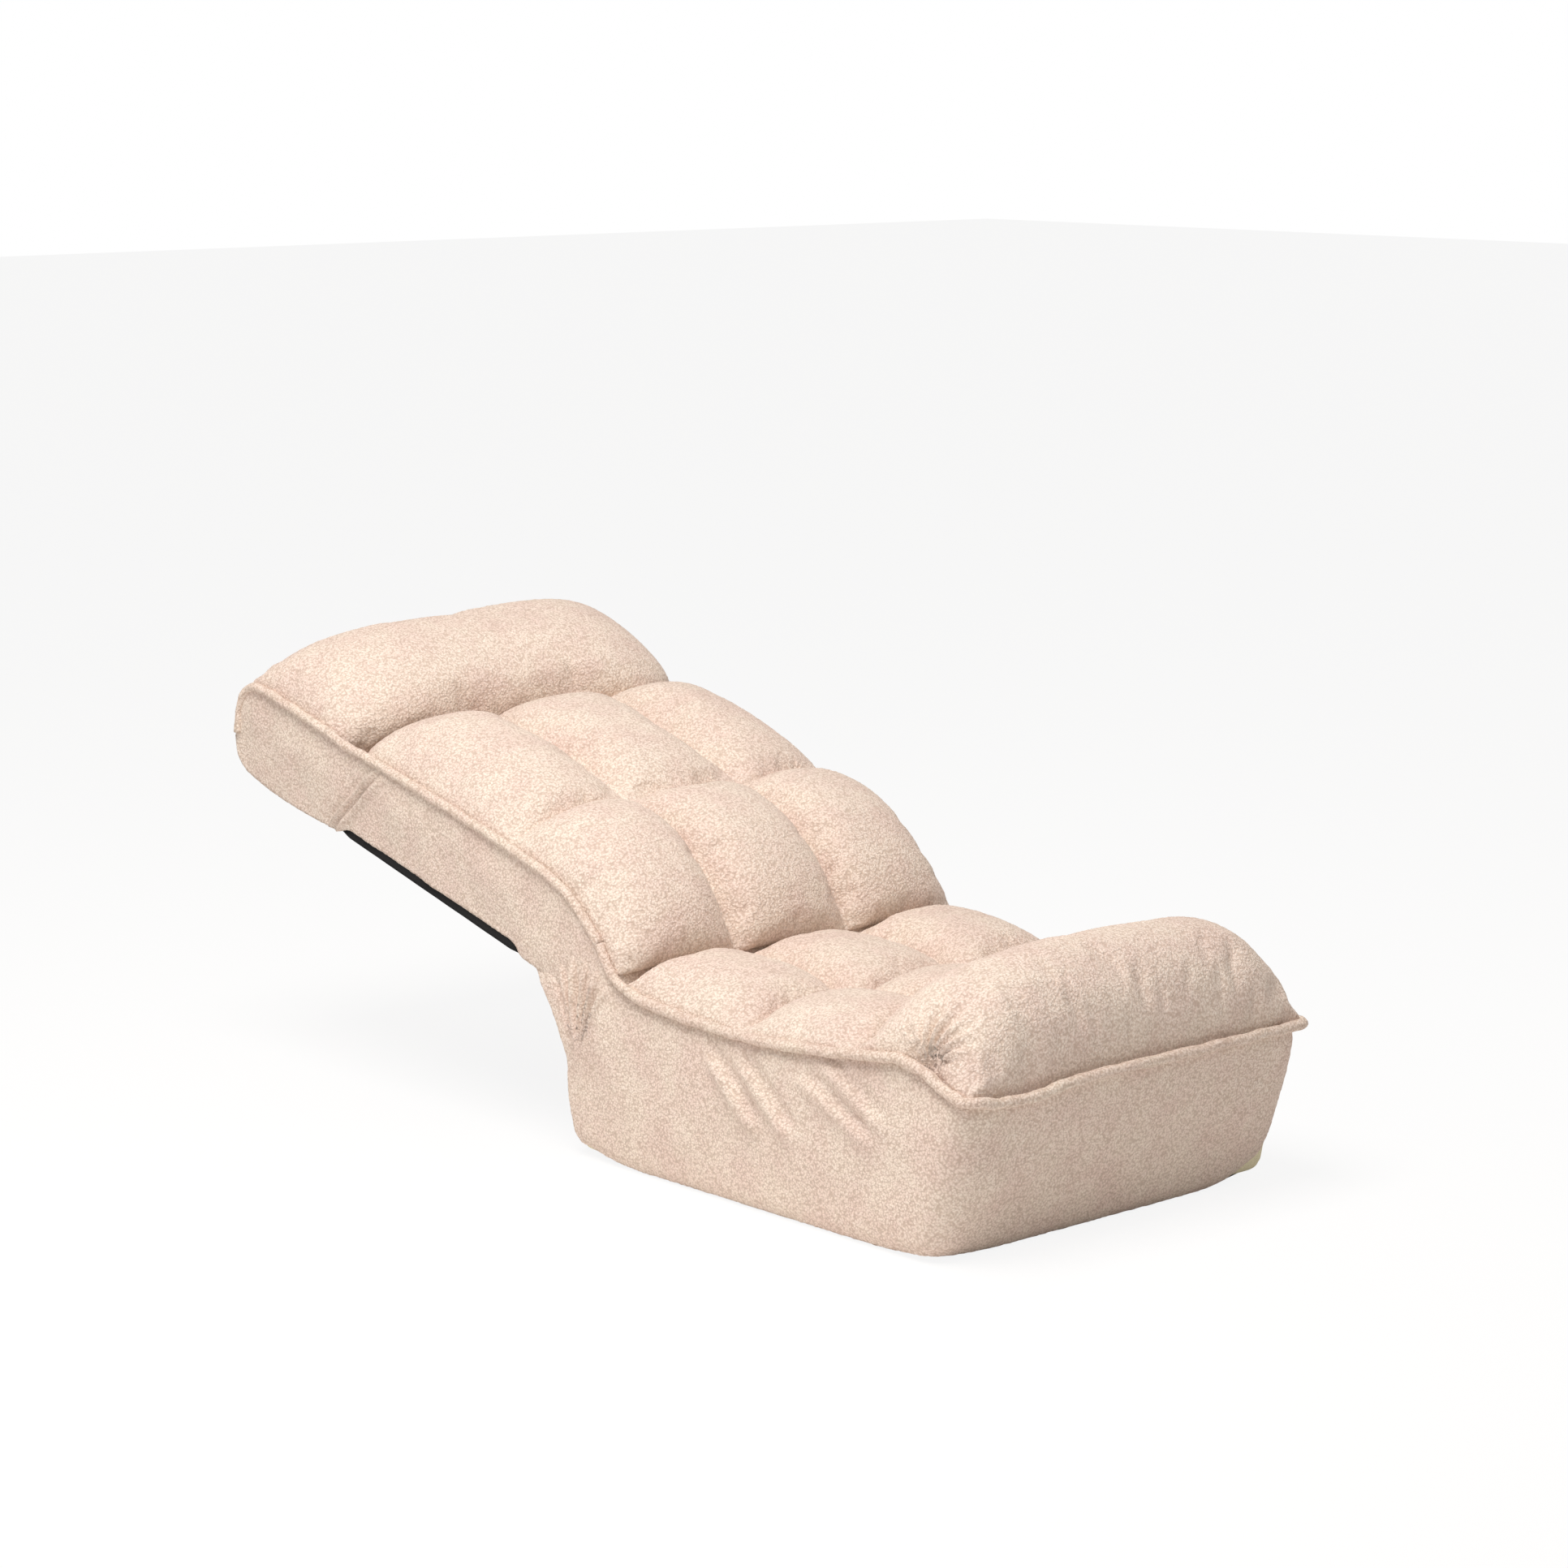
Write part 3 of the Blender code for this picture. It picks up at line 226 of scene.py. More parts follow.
def beside(line, share):
    """The left-hand normals at some shares of a 2D line."""
    run = along(line, np.minimum(share + 0.004, 1)) - along(line, np.maximum(share - 0.004, 0))
    run /= np.linalg.norm(run, axis=1)[:, None]
    return np.stack([-run[:, 1], run[:, 0]], -1)


def ease(value):
    """0 below 0 and 1 above 1, with a smooth step between."""
    value = np.clip(value, 0, 1)
    return value * value * (3 - 2 * value)


def bell(value):
    """1 at 0, falling to 0 on both sides."""
    return np.exp(-(value**2))


def round_off(radius, share):
    """How far a round corner falls away: 0 where it starts, and its radius at its end."""
    return radius * (1 - np.sqrt(np.clip(1 - share**2, 0, 1)))


def waves(seed, length, *axes, count=7):
    """A smooth wandering value of about 1 either way, the same each run."""
    chance = np.random.default_rng(seed)
    total = 0
    for _ in range(count):
        way = chance.normal(size=len(axes))
        way /= np.linalg.norm(way) * length * chance.uniform(0.7, 1.5) / (2 * math.pi)
        total = total + np.sin(sum(w * a for w, a in zip(way, axes)) + chance.uniform(0, 6.28))
    return total / math.sqrt(count)


def crease_line(y, z, start, end, width):
    """1 along a line between two points, falling to 0 at about its width and beyond its ends."""
    start = np.array(start)
    run = np.array(end) - start
    length = np.linalg.norm(run)
    run = run / length
    far = (y - start[0]) * run[0] + (z - start[1]) * run[1]
    off = (y - start[0]) * -run[1] + (z - start[1]) * run[0]
    share = far / length
    ends = ease((share + 0.12) / 0.3) * ease((1.12 - share) / 0.3)
    return bell(off / width) * ends


def from_back(x, u, v):
    """Points given along and square to the back, in the chair's own frame."""
    y = HINGE_Y + u * math.cos(RISE) - v * math.sin(RISE)
    z = HINGE_Z + u * math.sin(RISE) + v * math.cos(RISE)
    return np.stack(np.broadcast_arrays(x, y, z), -1)


def back_world(u, v):
    """The same for one point, as its y and z."""
    return tuple(from_back(0.0, u, v)[1:])


# Materials. Noise and cell patterns repeat about as many times in a metre as their scale says.


def linear(code):
    """A colour written as sRGB hex, turned to linear."""
    parts = [int(code[k:k + 2], 16) / 255 for k in (1, 3, 5)]
    return (*[p / 12.92 if p <= 0.04045 else ((p + 0.055) / 1.055) ** 2.4 for p in parts], 1)


def output_of(source):
    return source.outputs[0] if isinstance(source, bpy.types.Node) else source


def node(tree, kind, settings=(), **links):
    """Adds a node. Settings are properties, input values or a ramp's stops. Links go to inputs by name or
    number, from an output or from a node's first one."""
    made = tree.nodes.new("ShaderNode" + kind)
    for key, value in dict(settings).items():
        if key == "stops":
            band = made.color_ramp
            while len(band.elements) < len(value):
                band.elements.new(0.5)
            for element, (place, code) in zip(band.elements, value):
                element.position = place
                element.color = linear(code)
        elif isinstance(key, str) and hasattr(made, key):
            setattr(made, key, value)
        else:
            made.inputs[key].default_value = value
    for key, source in links.items():
        spot = int(key[1:]) if key[0] == "i" and key[1:].isdigit() else key.replace("_", " ")
        tree.links.new(output_of(source), made.inputs[spot])
    return made


def new_material(name):
    made = bpy.data.materials.new(name)
    made.use_nodes = True
    return made, made.node_tree, made.node_tree.nodes["Principled BSDF"]


def patterned(name):
    """A new material, and where each point lies on its piece, which its patterns read."""
    made, tree, shader = new_material(name)
    return made, tree, shader, node(tree, "TexCoord").outputs["Object"]


def surface(tree, shader, colour, height, strength, distance, **looks):
    """Gives a material its colour, its relief and its other looks, each a value or a pattern."""
    bump = node(tree, "Bump", {"Strength": strength, "Distance": distance}, Height=height)
    tree.links.new(output_of(colour), shader.inputs["Base Color"])
    tree.links.new(bump.outputs[0], shader.inputs["Normal"])
    for key, value in looks.items():
        spot = shader.inputs[key.replace("_", " ")]
        if isinstance(value, bpy.types.Node):
            tree.links.new(value.outputs[0], spot)
        else:
            spot.default_value = value


def teddy_fleece(name, pit_shade_colour, curl_highlight_colour, blush, turn=0.0):
    """Polyester teddy fleece, a knit brushed into curls about 3 mm across: matt, with shade painted dark into
    the pits between pale curls whose tops carry painted highlight, soft sheen at the edges, and a nap that
    drifts between cream and pink."""
    made, tree, shader, place = patterned(name)
    place = node(tree, "Mapping", {"Rotation": (turn, turn * 0.7, 0)}, Vector=place)
    bent = node(tree, "TexNoise", {"Scale": 160, "Detail": 2}, Vector=place)
    pull = node(tree, "VectorMath", {"operation": "MULTIPLY_ADD", 1: (0.004,) * 3},
                i0=bent.outputs["Color"], i2=place)
    curl = node(tree, "TexVoronoi", {"feature": "SMOOTH_F1", "Scale": 330, "Smoothness": 0.35},
                Vector=pull)
    fine = node(tree, "TexNoise", {"Scale": 620, "Detail": 3, "Roughness": 0.65}, Vector=place)
    clump = node(tree, "TexNoise", {"Scale": 95, "Detail": 2}, Vector=place)
    loft = node(tree, "Math", {"operation": "MULTIPLY_ADD", 1: -0.9, 2: 0.78}, i0=curl)
    for grain, share in ((fine, 0.75), (clump, 0.20)):
        loft = node(tree, "Math", {"operation": "MULTIPLY_ADD", 1: share}, i0=grain, i2=loft)
    shade = node(tree, "MapRange", {"From Min": 0.60, "From Max": 1.26}, Value=loft)
    # The colour follows the bump's relief: painted shade darkens the pits, and the curl tops are the fibre's
    # cream lifted by painted highlight.
    colour = node(tree, "ValToRGB", {"stops": ((0.0, pit_shade_colour), (0.5, blush), (1.0, curl_highlight_colour))}, Fac=shade)
    drift = node(tree, "TexNoise", {"Scale": 17, "Detail": 3, "Roughness": 0.6}, Vector=place)
    warm = node(tree, "ValToRGB", {"stops": ((0.36, "#FAF1EC"), (0.62, "#FFFCF5"))}, Fac=drift)
    mixed = node(tree, "Mix", {"data_type": "RGBA", "blend_type": "MULTIPLY", 0: 1.0},
                 i6=colour, i7=warm)
    surface(tree, shader, mixed.outputs[2], loft, 0.85, 0.0016, Roughness=0.95,
            Specular_IOR_Level=0.15, Sheen_Weight=0.3, Sheen_Roughness=0.55, Sheen_Tint=linear("#FFF1E2"))
    return made


def black_nonwoven():
    """Spunbonded polypropylene, bonded in dots about 1.5 mm apart: flat black with a faint dry glint."""
    made, tree, shader, place = patterned("spunbonded_polypropylene_black")
    dots = node(tree, "TexVoronoi", {"Scale": 650}, Vector=place)
    fibre = node(tree, "TexNoise", {"Scale": 900, "Detail": 3}, Vector=place)
    colour = node(tree, "ValToRGB", {"stops": ((0.3, "#0B0B0B"), (0.75, "#1D1C1C"))}, Fac=fibre)
    height = node(tree, "Math", {"operation": "ADD"}, i0=dots, i1=fibre)
    surface(tree, shader, colour, height, 0.35, 0.0004,
            Roughness=0.82, Specular_IOR_Level=0.3)
    return made


def dotted_cloth():
    """Black polyester cloth with small PVC dots, 6 mm apart, that grip the floor."""
    made, tree, shader, place = patterned("dotted_nonslip_polyester")
    dots = node(tree, "TexVoronoi", {"Scale": 165, "Randomness": 0.0}, Vector=place)
    dot = node(tree, "MapRange", {"From Min": 0.30, "From Max": 0.22}, Value=dots)
    weave = node(tree, "TexNoise", {"Scale": 1400, "Detail": 2}, Vector=place)
    cloth = node(tree, "ValToRGB", {"stops": ((0.3, "#151515"), (0.8, "#2A2A29"))}, Fac=weave)
    mixed = node(tree, "Mix", {"data_type": "RGBA", 7: linear("#0E0E0F")}, i0=dot, i6=cloth)
    gloss = node(tree, "MapRange", {"To Min": 0.9, "To Max": 0.45}, Value=dot)
    surface(tree, shader, mixed.outputs[2], dot, 0.5, 0.0006, Roughness=gloss)
    return made


def polyurethane_foam():
    """Open-cell polyurethane foam, cells about 1 mm: pale yellow, matt, with dark pores."""
    made, tree, shader, place = patterned("polyurethane_foam")
    cells = node(tree, "TexVoronoi", {"Scale": 800}, Vector=place)
    colour = node(tree, "ValToRGB", {"stops": ((0.1, "#C9BD93"), (0.5, "#EFE6C6"))}, Fac=cells)
    surface(tree, shader, colour, cells, 0.6, 0.0006, Roughness=0.95)
    return made


def elastic_webbing():
    """Woven polypropylene and rubber webbing: a black band with ribs about 4 mm apart, crossed by rows of
    weft about 2.4 mm apart."""
    made, tree, shader, place = patterned("elastic_polypropylene_webbing")
    ribs = node(tree, "TexWave", {"bands_direction": "X", "Scale": 80, "Distortion": 0.4}, Vector=place)
    rows = node(tree, "TexWave", {"bands_direction": "Y", "Scale": 130}, Vector=place)
    height = node(tree, "Math", {"operation": "MULTIPLY"}, i0=ribs.outputs["Fac"], i1=rows.outputs["Fac"])
    colour = node(tree, "ValToRGB", {"stops": ((0.1, "#141414"), (0.8, "#2E2D2C"))}, Fac=height)
    surface(tree, shader, colour, height, 0.6, 0.0005, Roughness=0.75)
    return made


def powder_coat():
    """Steel tube under black polyester powder coat: satin, with orange peel about 2 mm across."""
    made, tree, shader, place = patterned("powder_coated_steel_tube")
    peel = node(tree, "TexNoise", {"Scale": 480, "Detail": 2}, Vector=place)
    wear = node(tree, "TexNoise", {"Scale": 60, "Detail": 4}, Vector=place)
    colour = node(tree, "ValToRGB", {"stops": ((0.35, "#161617"), (0.7, "#232324"))}, Fac=wear)
    gloss = node(tree, "MapRange", {"To Min": 0.38, "To Max": 0.52}, Value=wear)
    surface(tree, shader, colour, peel, 0.25, 0.0003,
            Roughness=gloss, Coat_Weight=0.2, Coat_Roughness=0.35)
    return made


def plated_steel(name, pale, dark, roughness):
    """Pressed steel, zinc plated or hardened: a soft gloss with rolling marks about 5 mm long and 0.4 mm
    apart."""
    made, tree, shader, place = patterned(name)
    grain = node(tree, "Mapping", {"Scale": (1.0, 1.0, 12.0)}, Vector=place)
    marks = node(tree, "TexNoise", {"Scale": 220, "Detail": 3}, Vector=grain)
    colour = node(tree, "ValToRGB", {"stops": ((0.3, dark), (0.75, pale))}, Fac=marks)
    gloss = node(tree, "MapRange", {"To Min": roughness, "To Max": roughness + 0.14}, Value=marks)
    surface(tree, shader, colour, marks, 0.12, 0.0002,
            Roughness=gloss, Metallic=1.0)
    return made


def dress(obj, material):
    obj.data.materials.clear()
    obj.data.materials.append(material)


# Each fleece's first colour is painted shade for its pits, its second the cream of its curl tops with painted
# highlight.
FLEECE = teddy_fleece("teddy_fleece_cream", "#D1C0B5", "#FDF6F0", "#EFE1D9")
PIPING = teddy_fleece("teddy_fleece_piping", "#CDBBAE", "#FBF3EC", "#ECDED5", 0.6)
NONWOVEN = black_nonwoven()
NONSLIP = dotted_cloth()
FOAM = polyurethane_foam()
WEBBING = elastic_webbing()
POWDER_COAT = powder_coat()
ZINC = plated_steel("zinc_plated_steel", "#C9CAC8", "#A9ABAA", 0.3)
SPRING = plated_steel("hardened_spring_steel", "#8C8D90", "#6D6E72", 0.25)


# The lines that the piping follows

# How far each point of the seat's piping lies from its rear end to the front corner, and its rise
SEAT_PIPING = np.array((
    (0.000, 0.0185), (0.054, 0.0110), (0.157, 0.0050), (0.294, 0.0015), (0.431, 0.0015), (0.585, 0.0080),
    (0.734, 0.0180), (0.822, 0.0230), (0.894, 0.0130), (0.950, -0.0020), (1.000, -0.0085),
))
PIPE_REAR_Y = HINGE_Y - 0.0505
PIPE_FRONT_Y = FRONT_TOP_Y + 0.004
SEAT_PIPE_LINE = smooth_line(np.stack([
    PIPE_REAR_Y + (PIPE_FRONT_Y - PIPE_REAR_Y) * SEAT_PIPING[:, 0], FRONT_TOP + SEAT_PIPING[:, 1]
], -1))
# Places along the back's piping, from the hinge up, and its height over the line between the hinges
BACK_PIPING = (
    (0.0169, TOP - 0.0393), (0.0378, TOP - 0.0268), (0.0758, TOP - 0.0092), (0.1185, TOP + 0.0020),
    (0.2234, TOP + 0.0060), (HEAD_AT - 0.186, TOP + 0.0040), (HEAD_AT - 0.040, TOP),
)
BACK_PIPE_LINE = smooth_line(BACK_PIPING)
PIPE_START = BACK_PIPING[0][0]
# Where the piping of the seat and that of the back meet
CREASE_Y = HINGE_Y - 0.0245
CREASE_Z = HINGE_Z + 0.0155


def piping_height(y):
    """The height of the seat's piping at a place along the side."""
    order = np.argsort(SEAT_PIPE_LINE[:, 0])
    return np.interp(y, SEAT_PIPE_LINE[order, 0], SEAT_PIPE_LINE[order, 1])


def front_height(x):
    """The height of the piping across the front, which sags beside the left corner."""
    return FRONT_TOP - 0.0055 - 0.0095 * bell((x + 0.205) / 0.065)


# Cushions

def pile(obj, height=NAP, grain=0.0045):
    """Roughens a finished fleece surface as its curls do."""
    texture = bpy.data.textures.new(obj.name + "_pile", "CLOUDS")
    texture.noise_scale = grain
    texture.noise_depth = 1
    step = obj.modifiers.new("pile", "DISPLACE")
    step.texture = texture
    step.texture_coords = "LOCAL"
    step.strength = height
    step.mid_level = 0.5
    apply_all(obj)
    obj.data.shade_smooth()


def swell(obj, pinned, rise, grow=-0.025, pressure=4.0):
    """Blows a cushion up as cloth under pressure, held at its seams, and moves no point further than rise."""
    start = points_of(obj)
    group = obj.vertex_groups.new(name="seams")
    held = np.flatnonzero(pinned > 0.001)
    for index in held:
        group.add([int(index)], float(pinned[index]), "REPLACE")
    cloth = obj.modifiers.new("cloth", "CLOTH")
    cloth.settings.quality = 5
    cloth.settings.mass = 0.25
    cloth.settings.tension_stiffness = 12
    cloth.settings.compression_stiffness = 12
    cloth.settings.shear_stiffness = 5
    cloth.settings.bending_stiffness = 1.2
    cloth.settings.air_damping = 4
    cloth.settings.use_pressure = True
    cloth.settings.uniform_pressure_force = pressure
    cloth.settings.shrink_min = grow
    cloth.settings.vertex_group_mass = "seams"
    cloth.settings.effector_weights.gravity = 0
    cloth.collision_settings.use_collision = False
    scene = bpy.context.scene
    for number in range(1, 21):
        scene.frame_set(number)
    graph = bpy.context.evaluated_depsgraph_get()
    done = points_of(obj.evaluated_get(graph))
    obj.modifiers.clear()
    scene.frame_set(1)
    move = done - start
    far = np.linalg.norm(move, axis=1)[:, None]
    move *= np.minimum(1, rise / np.maximum(far, 1e-9))
    move_points(obj, start + move)


def tuft_places(across, length, columns, edges, cells):
    """Where each point lies in its own tuft, from -1 to 1 each way, and which column and row that is."""
    column = np.minimum((across * columns + 1e-9).astype(int), columns - 1)
    s = (across * columns - column) * 2 - 1
    step = length * sum(cells)
    row = np.zeros(len(length), int)
    share = np.zeros(len(length))
    t = np.zeros(len(length))
    first = 0
    for k, count in enumerate(cells):
        here = (step >= first - 1e-6) & (step <= first + count + 1e-6)
        inner = (step - first) / count
        row[here] = k
        t[here] = inner[here] * 2 - 1
        share[here] = edges[k] + (edges[k + 1] - edges[k]) * inner[here]
        first += count
    return s, t, column, row, share


def quilted(name, line, edges, cells, crowns, columns, column_cells, shape, firm, upright, lift, rim, foot,
            to_world, seed):
    """A stuffed pad: tufts swell off a line, its seams stay down, and its rim is drawn in under it.

    shape is how square a tuft is towards the left and the right, and firm towards the line's two ends.
    upright is how far it swells straight up, and not square to the line.
    """
    obj, across, length = cloth_grid(name, columns * column_cells, sum(cells))
    s, t, column, row, share = tuft_places(across, length, columns, edges, cells)
    x = (across * 2 - 1) * PAD_X
    chance = np.random.default_rng(seed)
    plump = 1 + chance.uniform(-0.07, 0.07, (columns, len(cells)))
    crown = np.array(crowns)[row] * plump[column, row]
    s_lean = s + chance.uniform(-0.10, 0.10, (columns, len(cells)))[column, row] * (1 - s**2)
    t_lean = t + chance.uniform(-0.10, 0.10, (columns, len(cells)))[column, row] * (1 - t**2)
    square = np.where(s < 0, shape[0], shape[1])
    steep = np.where((row == 0) & (t < 0), firm[0], np.where((row == len(cells) - 1) & (t > 0), firm[1], 2.4))
    rise = np.clip((1 - np.abs(s_lean) ** square) * (1 - np.abs(t_lean) ** steep), 0, None) ** 0.55
    height = crown * rise + lift(x, share)
    seam_drift = 0.0025 * waves(seed + 1, 0.12, x, share * 0.5)
    base = along(line, share)
    way = beside(line, share) * (1 - upright) + np.array((0, upright))
    way /= np.linalg.norm(way, axis=1)[:, None]
    at = base + way * height[:, None]
    at[:, 1] += rim(base) * ease((np.abs(x) - 0.19) / (PAD_X - 0.19))
    inner = (1 - np.abs(across * 2 - 1) ** 6)
    at[:, 0] += seam_drift * inner * np.sin(np.pi * share)
    co = to_world(x + seam_drift * inner, at[:, 0], at[:, 1])
    move_points(obj, co)
    held = np.clip(np.maximum(np.abs(s), np.abs(t)) * 40 - 39, 0, 1)
    close_under(obj, foot)
    pinned = np.ones(len(obj.data.vertices))
    pinned[:len(held)] = held
    return obj, pinned


def finer(obj):
    """One subdivision, made while the flat underside is open, because its rim has hundreds of points."""
    focus(obj)
    bpy.ops.object.mode_set(mode="EDIT")
    bpy.ops.mesh.select_mode(type="FACE")
    bpy.ops.mesh.select_all(action="DESELECT")
    bpy.ops.mesh.select_face_by_sides(number=4, type="GREATER")
    bpy.ops.mesh.delete(type="ONLY_FACE")
    bpy.ops.object.mode_set(mode="OBJECT")
    add_subdivision(obj)
    apply_all(obj)


def close_rim(obj):
    """Closes the flat underside again."""
    focus(obj)
    bpy.ops.object.mode_set(mode="EDIT")
    bpy.ops.mesh.select_mode(type="VERT")
    bpy.ops.mesh.select_all(action="SELECT")
    bpy.ops.mesh.region_to_loop()
    bpy.ops.mesh.edge_face_add()
    bpy.ops.mesh.select_mode(type="VERT")
    bpy.ops.object.mode_set(mode="OBJECT")
    outward(obj)


def finish_cushion(obj):
    """Gives a cushion its curls, its closed foot and its fleece."""
    pile(obj)
    close_rim(obj)
    obj.data.shade_smooth()
    dress(obj, FLEECE)


# The seat: two rows of three tufts. Its height, its seam with the bolster, and its rear end
LIE = FRONT_TOP + 0.009
SEAM_Y = FRONT_TOP_Y + 0.1915
SEAT_REAR = HINGE_Y - 0.0348
SEAT_LINE = smooth_line((
    (SEAM_Y + 0.0003, LIE + 0.008),
    (SEAM_Y + 0.084, LIE + 0.001),
    ((SEAM_Y + SEAT_REAR) / 2, LIE),
    (SEAT_REAR - 0.075, LIE + 0.002),
    (SEAT_REAR - 0.025, LIE + 0.008),
    (SEAT_REAR, LIE + 0.019),
))
SEAT_FLOOR = FRONT_TOP - 0.002


def seat_foot(co):
    co[:, 0] *= FOOT_X / PAD_X
    co[:, 2] = SEAT_FLOOR
    return co


def world_yz(x, y, z):
    return np.stack([x, y, z], -1)


def no_lift(x, share):
    return 0 * x


def seat_rim(at):
    return piping_height(at[:, 0]) + 0.002 - at[:, 1]


seat, held = quilted(
    "seat_cushion", SEAT_LINE, (0, 0.475, 1), (32, 36), (0.037, 0.042), 3, 32, (2.4, 2.4), (2.4, 4.5), 0,
    no_lift, seat_rim, seat_foot, world_yz, 11,
)
swell(seat, held, 0.012)
finer(seat)
finish_cushion(seat)
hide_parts("seat_pad")
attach(seat, "base")

# The bolster: one full-width roll at the front of the seat
BOLSTER_LINE = smooth_line((
    (FRONT_TOP_Y + 0.0030, FRONT_TOP - 0.002),
    (FRONT_TOP_Y + 0.0080, FRONT_TOP + 0.011),
    (FRONT_TOP_Y + 0.0300, FRONT_TOP + 0.026),
    (FRONT_TOP_Y + 0.0800, FRONT_TOP + 0.035),
    (SEAM_Y - 0.0555, FRONT_TOP + 0.033),
    (SEAM_Y - 0.0003, FRONT_TOP + 0.017),
))


def bolster_foot(co):
    co[:, 0] *= FOOT_X / PAD_X
    co[:, 1] = np.clip(co[:, 1], FRONT_TOP_Y + 0.005, SEAM_Y - 0.001)
    co[:, 2] = np.minimum(SEAT_FLOOR, edge_height(co[:, 0], co[:, 1]) - 0.006)
    return co


def edge_height(x, y):
    """The height of the piping beside a place on the bolster's rim."""
    return np.where(y < FRONT_TOP_Y + 0.02, front_height(x), piping_height(y))


def bolster_rim(at):
    return np.minimum(piping_height(at[:, 0]) + 0.003 - at[:, 1], 0)


def bolster_lift(x, share):
    return (front_height(x) + 0.005 - FRONT_TOP) * (1 - ease(share / 0.14))


# The angles of the short creases over a bolster's end, in degrees
END_CREASES = (-66, -47, -28, -10, 8, 27, 46, 64)


def gather_ends(obj):
    """Presses the short creases that spread over the bolster's ends from where its stuffing is drawn in."""
    co = points_of(obj)
    over = PAD_X - np.abs(co[:, 0])
    run = co[:, 1] - (FRONT_TOP_Y + 0.074)
    rise = co[:, 2] - (FRONT_TOP + 0.022)
    angle = np.degrees(np.arctan2(run, np.hypot(over, rise)))
    reach = np.hypot(run, np.hypot(over, rise))
    press = 0
    for k, at in enumerate(END_CREASES):
        at = at + np.where(co[:, 0] < 0, 0, 4 * (-1) ** k)
        deep = 0.0125 if k in (3, 4) else 0.0090
        groove = bell((angle - at) / 4.8)
        ridge = bell((angle - at - 9) / 5)
        press = press + deep * groove - 0.45 * deep * ridge
    length = 0.070 + 0.026 * np.cos(np.radians(angle * 1.6))
    press = press * ease((reach - 0.002) / 0.012) * ease((length - reach) / (length * 0.85))
    press = press + 0.008 * bell(reach / 0.018)
    above = ease((co[:, 2] - FRONT_TOP) / 0.01)
    move_points(obj, co - normals_of(obj) * (press * above)[:, None])


bolster, held = quilted(
    "bolster_cushion", BOLSTER_LINE, (0, 1), (48,), (0.081,), 1, 104, (3.0, 4.6), (2.4, 2.4), 0.85,
    bolster_lift, bolster_rim, bolster_foot, world_yz, 21,
)
swell(bolster, held, 0.010)
finer(bolster)
gather_ends(bolster)
finish_cushion(bolster)
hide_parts("front_bolster")
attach(bolster, "base")

# The back: two rows of three tufts over a swelling slab, whose foot lies as high as the head's
FOOT_V = 0.014
BACK_LINE = smooth_line((
    (-0.0276, TOP - 0.0649),
    (-0.0120, TOP - 0.0515),
    (0.0080, TOP - 0.0385),
    (0.0378, TOP - 0.0190),
    (0.0758, TOP - 0.0040),
    (0.1185, TOP + 0.0040),
    (0.2234, TOP + 0.0060),
    (HEAD_AT - 0.186, TOP + 0.0040),
    (HEAD_AT - 0.091, TOP),
    (HEAD_AT - 0.053, TOP - 0.0060),
    (HEAD_AT - 0.032, TOP - 0.0210),
    (HEAD_AT - 0.0219, TOP - 0.0390),
))


def back_foot(co):
    u, _ = to_back(co)
    u = np.clip(u, 0.024, HEAD_AT - 0.006)
    return from_back(co[:, 0] * FOOT_X / PAD_X, u, FOOT_V)


def to_back(co):
    """How far points lie along the back and square to it."""
    y = co[:, 1] - HINGE_Y
    z = co[:, 2] - HINGE_Z
    u = y * math.cos(RISE) + z * math.sin(RISE)
    v = -y * math.sin(RISE) + z * math.cos(RISE)
    return u, v


def back_lift(x, share):
    far = 0.006 * ease((x + 0.05) / 0.25) * ease((share - 0.4) / 0.3)
    return (0.034 + far) * (1 - np.abs(x / PAD_X) ** 5) * ease(share / 0.45) * ease((1 - share) / 0.18)


def back_rim(at):
    places = (0, *[place for place, _ in BACK_PIPING[:5]])
    return np.interp(at[:, 0], places, (0, -0.002, -0.006, -0.004, -0.001, 0.001))


back, held = quilted(
    "back_cushion", BACK_LINE, (0, 0.43, 1), (48, 60), (0.039, 0.038), 3, 36, (2.4, 2.4), (4.0, 3.6), 0,
    back_lift, back_rim, back_foot, from_back, 31,
)
swell(back, held, 0.012)
finer(back)
finish_cushion(back)
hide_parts("back_pad")
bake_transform(back)

# The head: one full-width roll, fuller towards its right end
HEAD_LINE = smooth_line([(HEAD_AT + u, v) for u, v in (
    (0.0219, TOP - 0.039),
    (0.034, TOP - 0.019),
    (0.055, TOP - 0.005),
    (0.100, TOP),
    (HEAD_LENGTH - 0.072, TOP),
    (HEAD_LENGTH - 0.027, TOP - 0.002),
    (HEAD_LENGTH - 0.0045, TOP - 0.0068),
)])


def head_foot(co):
    u, _ = to_back(co)
    u = np.clip(u, HEAD_AT + 0.007, HEAD_AT + HEAD_LENGTH - 0.004)
    return from_back(co[:, 0] * FOOT_X / PAD_X, u, FOOT_V)


def head_lift(x, share):
    return 0.016 * ease((x + 0.1) / 0.3) * (1 - np.abs(x / PAD_X) ** 6) * np.sin(np.pi * share)


def head_rim(at):
    return 0 * at[:, 0]


def leaning_roll(x, u, v):
    """The head's roll leans over the notch at its right end."""
    lean = 0.045 * ease((x + 0.1) / 0.35) * ease((v - 0.055) / 0.09) * (1 - ease((u - HEAD_AT - 0.02) / 0.15))
    return from_back(x, u - lean, v)


head, held = quilted(
    "head_cushion", HEAD_LINE, (0, 1), (56,), (0.079,), 1, 104, (2.8, 5.5), (2.4, 2.4), 0,
    head_lift, head_rim, head_foot, leaning_roll, 41,
)
swell(head, held, 0.010)
finer(head)
finish_cushion(head)
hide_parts("head_roll")
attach(head, "head")
back_world(HEAD_AT + HEAD_LENGTH, TOP)
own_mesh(head)


# Piping

